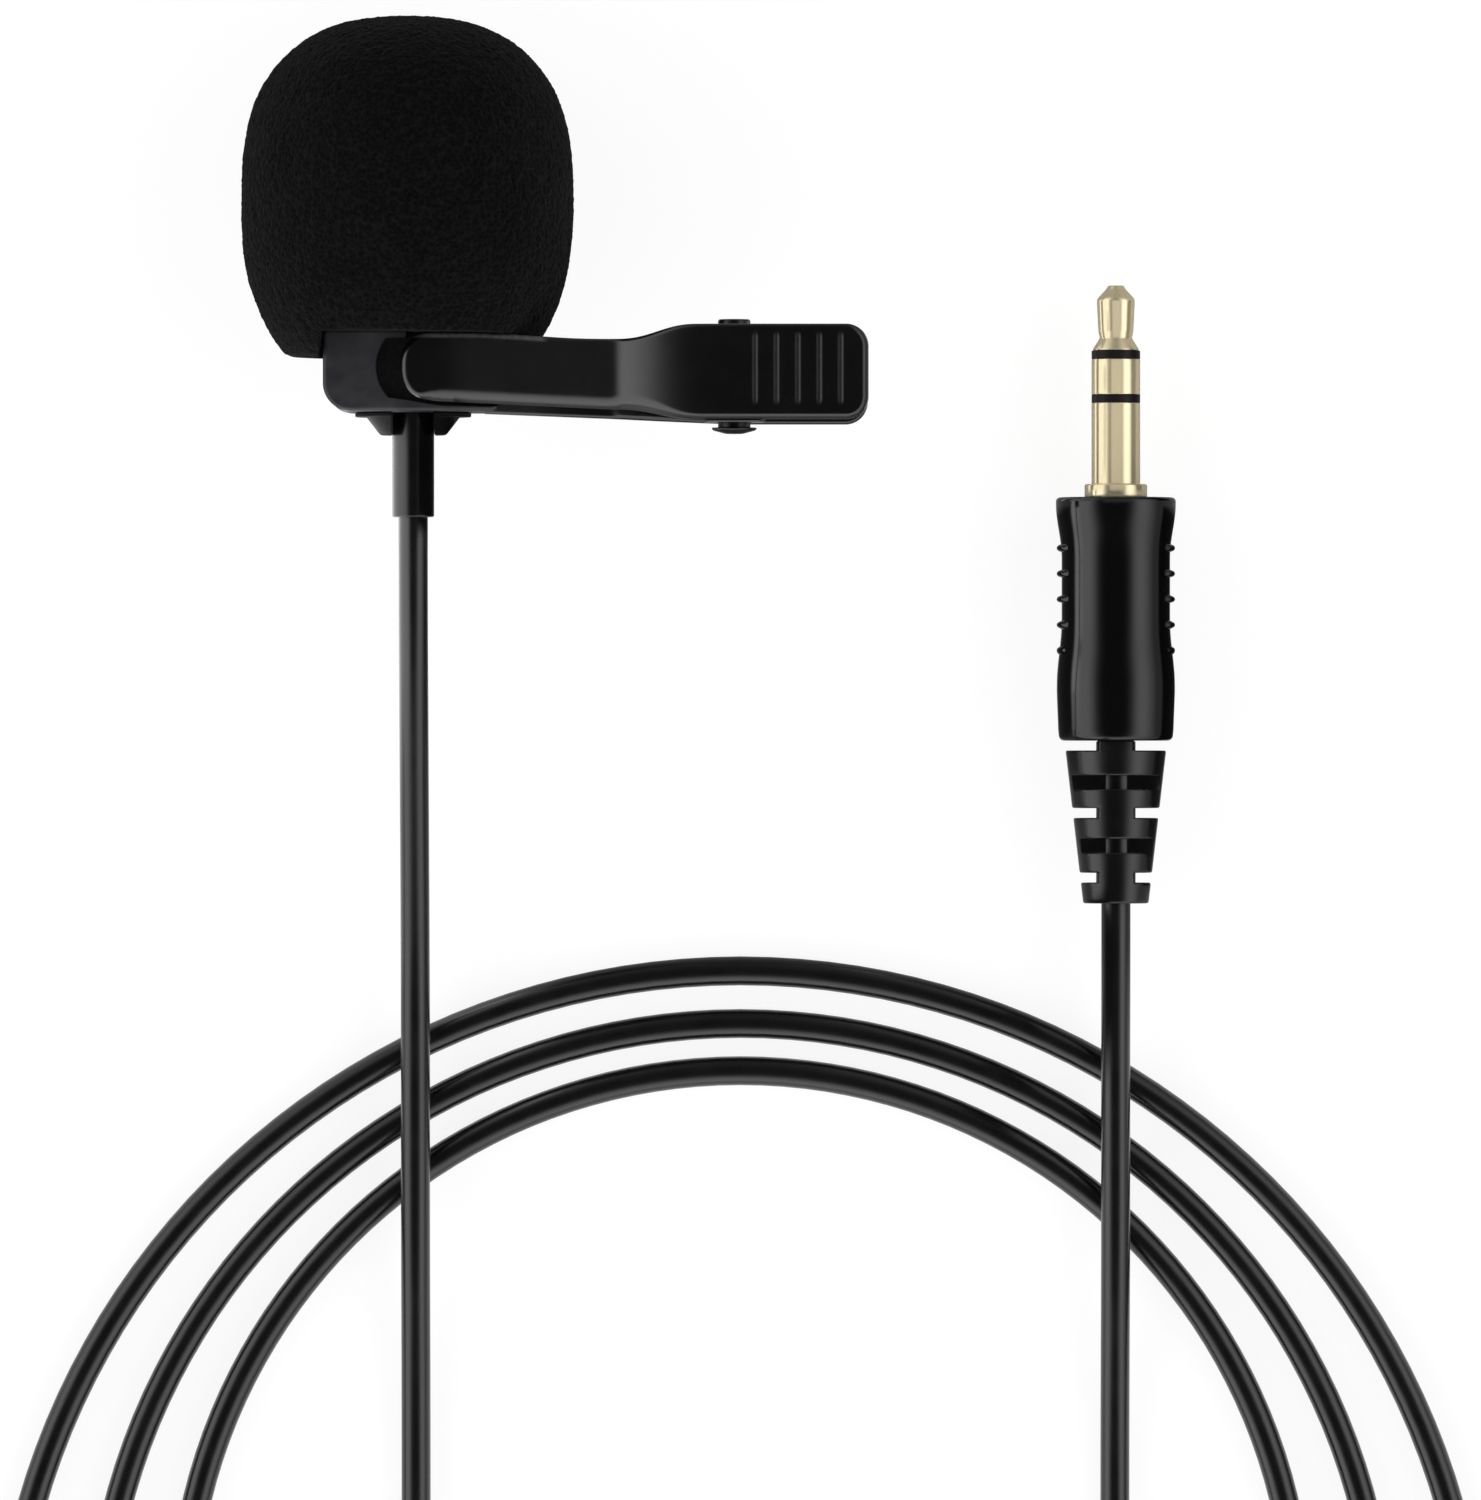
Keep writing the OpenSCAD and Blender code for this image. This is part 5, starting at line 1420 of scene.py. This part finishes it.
class LAV_OT_stage(Operator):
    """Makes the floor, the studio shell, the cards and the camera"""
    bl_idname = "lav.stage"
    bl_label = "Stage"

    def execute(self, context):
        s = read("lav_stage")
        self.floor(s)
        self.shell()
        self.world()
        self.cards()
        self.camera(s)
        context.scene.view_settings.view_transform = "Standard"
        return {"FINISHED"}

    def seen(self, tree, *kinds):
        """1 for rays of these kinds, else 0."""
        path = tree.nodes.new("ShaderNodeLightPath")
        value = path.outputs[kinds[0]]
        for kind in kinds[1:]:
            value = add_node(tree, "ShaderNodeMath", {"operation": "MAXIMUM"}, n0=value,
                             n1=path.outputs[kind]).outputs[0]
        return value

    def empty_tree(self, owner):
        """The node tree of a new material or world, with nothing in it."""
        owner.use_nodes = True
        owner.node_tree.nodes.clear()
        return owner.node_tree

    def glow(self, tree, strength):
        """Even white light of this strength."""
        return add_node(tree, "ShaderNodeEmission", Color=WHITE, Strength=strength)

    def add(self, name, shape, material, values=()):
        """Adds a piece of the stage from vertices in metres; values are a name and a number for each vertex."""
        mesh = new_mesh(name, shape)
        mesh.materials.append(material)
        if values:
            mesh.attributes.new(values[0], "FLOAT", "POINT").data.foreach_set("value", values[1])
        piece = add_object(name, mesh)
        return piece

    def floor(self, s):
        """The pale floor: it takes the object's shadow, and glows so that the camera sees it white."""
        half, level = s.floor_side * MM / 2, -5e-5
        corners = np.array([(-half, -half, level), (half, -half, level),
                            (half, half, level), (-half, half, level)])
        mat = bpy.data.materials.new("pale_floor")
        tree = self.empty_tree(mat)
        matte = add_node(tree, "ShaderNodeBsdfDiffuse", Color=(0.8, 0.8, 0.8, 1.0))
        white = self.seen(tree, "Is Camera Ray", "Is Transmission Ray")
        strength = between(tree, white, s.floor_mirrored, s.floor_white, 0.0, 1.0)
        glow = self.glow(tree, strength)
        seen = self.seen(tree, "Is Camera Ray", "Is Transmission Ray", "Is Glossy Ray")
        mix = add_node(tree, "ShaderNodeMixShader", Fac=product(tree, seen, s.floor_share), n1=matte.outputs[0],
                       n2=glow.outputs[0])
        add_node(tree, "ShaderNodeOutputMaterial", Surface=mix.outputs[0])
        self.add("floor", (corners, [np.array([(0, 1, 2, 3)])]), mat)

    def brightness(self, points):
        """Brightness of the studio towards each point: every side has a curve over the angle from straight up,
        and the four sides are blended by the squares of the direction's parts across and along."""
        x, y, z = np.moveaxis(points / np.linalg.norm(points, axis=-1, keepdims=True), -1, 0)
        lean = np.degrees(np.arccos(np.clip(z, -1, 1)))
        flat = np.maximum(x ** 2 + y ** 2, 1e-9)
        parts = {"left": np.minimum(x, 0) ** 2, "right": np.maximum(x, 0) ** 2,
                 "front": np.minimum(y, 0) ** 2, "back": np.maximum(y, 0) ** 2}
        return sum(np.interp(lean, *STUDIO[side]) * part / flat for side, part in parts.items())

    def shell(self):
        """The studio: a half sphere whose glow goes softly from bright sides to a dark top. The camera doesn't
        see it."""
        rows, cols, radius = 60, 120, 2.4
        a = np.linspace(-0.02, np.pi / 2 - 0.01, rows)[:, None]
        b = (np.arange(cols) * 2 * np.pi / cols)[None]
        rings = np.stack([radius * np.cos(a) * np.cos(b), radius * np.cos(a) * np.sin(b),
                          radius * np.sin(a) + 0 * b], axis=-1)
        verts = np.vstack([rings.reshape(-1, 3), [(0, 0, radius)]])
        j = np.arange(cols)
        last = (rows - 1) * cols
        top = np.stack([np.full(cols, rows * cols), last + j, last + (j + 1) % cols], axis=1)
        mat = bpy.data.materials.new("studio_glow")
        mat.cycles.emission_sampling = "NONE"
        tree = self.empty_tree(mat)
        glow = self.glow(tree, read_attribute(tree, "glow"))
        add_node(tree, "ShaderNodeOutputMaterial", Surface=glow.outputs[0])
        shell = self.add("studio_shell", (verts, [ring_faces(rows, cols), top]), mat,
                         ("glow", self.brightness(verts)))
        shell.visible_camera = shell.visible_shadow = False

    def cards(self):
        """The cards: each a grid from one corner to the other, with an even glow that eases to nothing at its
        sides."""
        places = {"mic": mic_origin() * (1, 1, 0), "plug": plug_origin() * (1, 1, 0)}
        part = np.linspace(0, 1, 25)
        u, v = np.meshgrid(part, part, indexing="ij")

        def fade(start, end):
            """Goes from 0 to 1 over the first share of a side, and back over the last."""
            return ease(part / max(start, 1e-6)) * ease((1 - part) / max(end, 1e-6))

        for name, (near, low, high, strength, along, up) in CARDS.items():
            low, high = places[near] + low, places[near] + high
            points = np.stack([low[0] + (high[0] - low[0]) * v, low[1] + (high[1] - low[1]) * u,
                               low[2] + (high[2] - low[2]) * v], axis=-1)
            mat = bpy.data.materials.new(name)
            mat.cycles.emission_sampling = "NONE"
            tree = self.empty_tree(mat)
            here = read_attribute(tree, "fade")
            clear = add_node(tree, "ShaderNodeBsdfTransparent", Color=WHITE)
            glow = self.glow(tree, strength)
            mix = add_node(tree, "ShaderNodeMixShader", Fac=here, n1=clear.outputs[0], n2=glow.outputs[0])
            add_node(tree, "ShaderNodeOutputMaterial", Surface=mix.outputs[0])
            card = self.add(name, in_metres(grid_patch(points)), mat,
                            ("fade", np.outer(fade(*along), fade(*up)).ravel()))
            card.visible_camera = card.visible_diffuse = card.visible_shadow = card.visible_transmission = False

    def world(self):
        """A plain world, white behind the floor."""
        world = bpy.data.worlds.new("studio")
        bpy.context.scene.world = world
        tree = self.empty_tree(world)
        white = self.seen(tree, "Is Camera Ray", "Is Transmission Ray", "Is Glossy Ray")
        level = between(tree, white, 0.3, 1.0, 0.0, 1.0)
        back = add_node(tree, "ShaderNodeBackground", Color=WHITE, Strength=level)
        add_node(tree, "ShaderNodeOutputWorld", Surface=back.outputs[0])

    def camera(self, s):
        """The camera, which looks straight down."""
        data = bpy.data.cameras.new("camera")
        data.lens, data.sensor_width, data.sensor_fit = s.focal, 36.0, "HORIZONTAL"
        data.clip_start, data.clip_end = 0.05, 20.0
        camera = add_object("camera", data)
        camera.location = (s.camera_x * MM, s.camera_y * MM, s.camera_z * MM)
        bpy.context.scene.camera = camera


# ---- Panel and registration ----

STEPS = (LAV_OT_stage, LAV_OT_plug, LAV_OT_cable, LAV_OT_microphone, LAV_OT_foam, LAV_OT_clip, LAV_OT_inner)


class LAV_PT_panel(Panel):
    """Lists the microphone's pieces"""
    bl_idname = "LAV_PT_panel"
    bl_label = "Lavalier microphone"
    bl_space_type = "VIEW_3D"
    bl_region_type = "UI"
    bl_category = "Lavalier"

    def draw(self, context):
        for step in STEPS:
            self.layout.operator(step.bl_idname)


CLASSES = (*GROUPS.values(), *STEPS, LAV_PT_panel)


def register():
    for cls in CLASSES:
        bpy.utils.register_class(cls)
    for name, group in GROUPS.items():
        setattr(bpy.types.Scene, name, PointerProperty(type=group))


def unregister():
    for name in GROUPS:
        delattr(bpy.types.Scene, name)
    for cls in reversed(CLASSES):
        bpy.utils.unregister_class(cls)


def main():
    """Builds everything."""
    register()
    for step in STEPS:
        group, name = step.bl_idname.split(".")
        getattr(getattr(bpy.ops, group), name)()


if __name__ == "__main__":
    main()
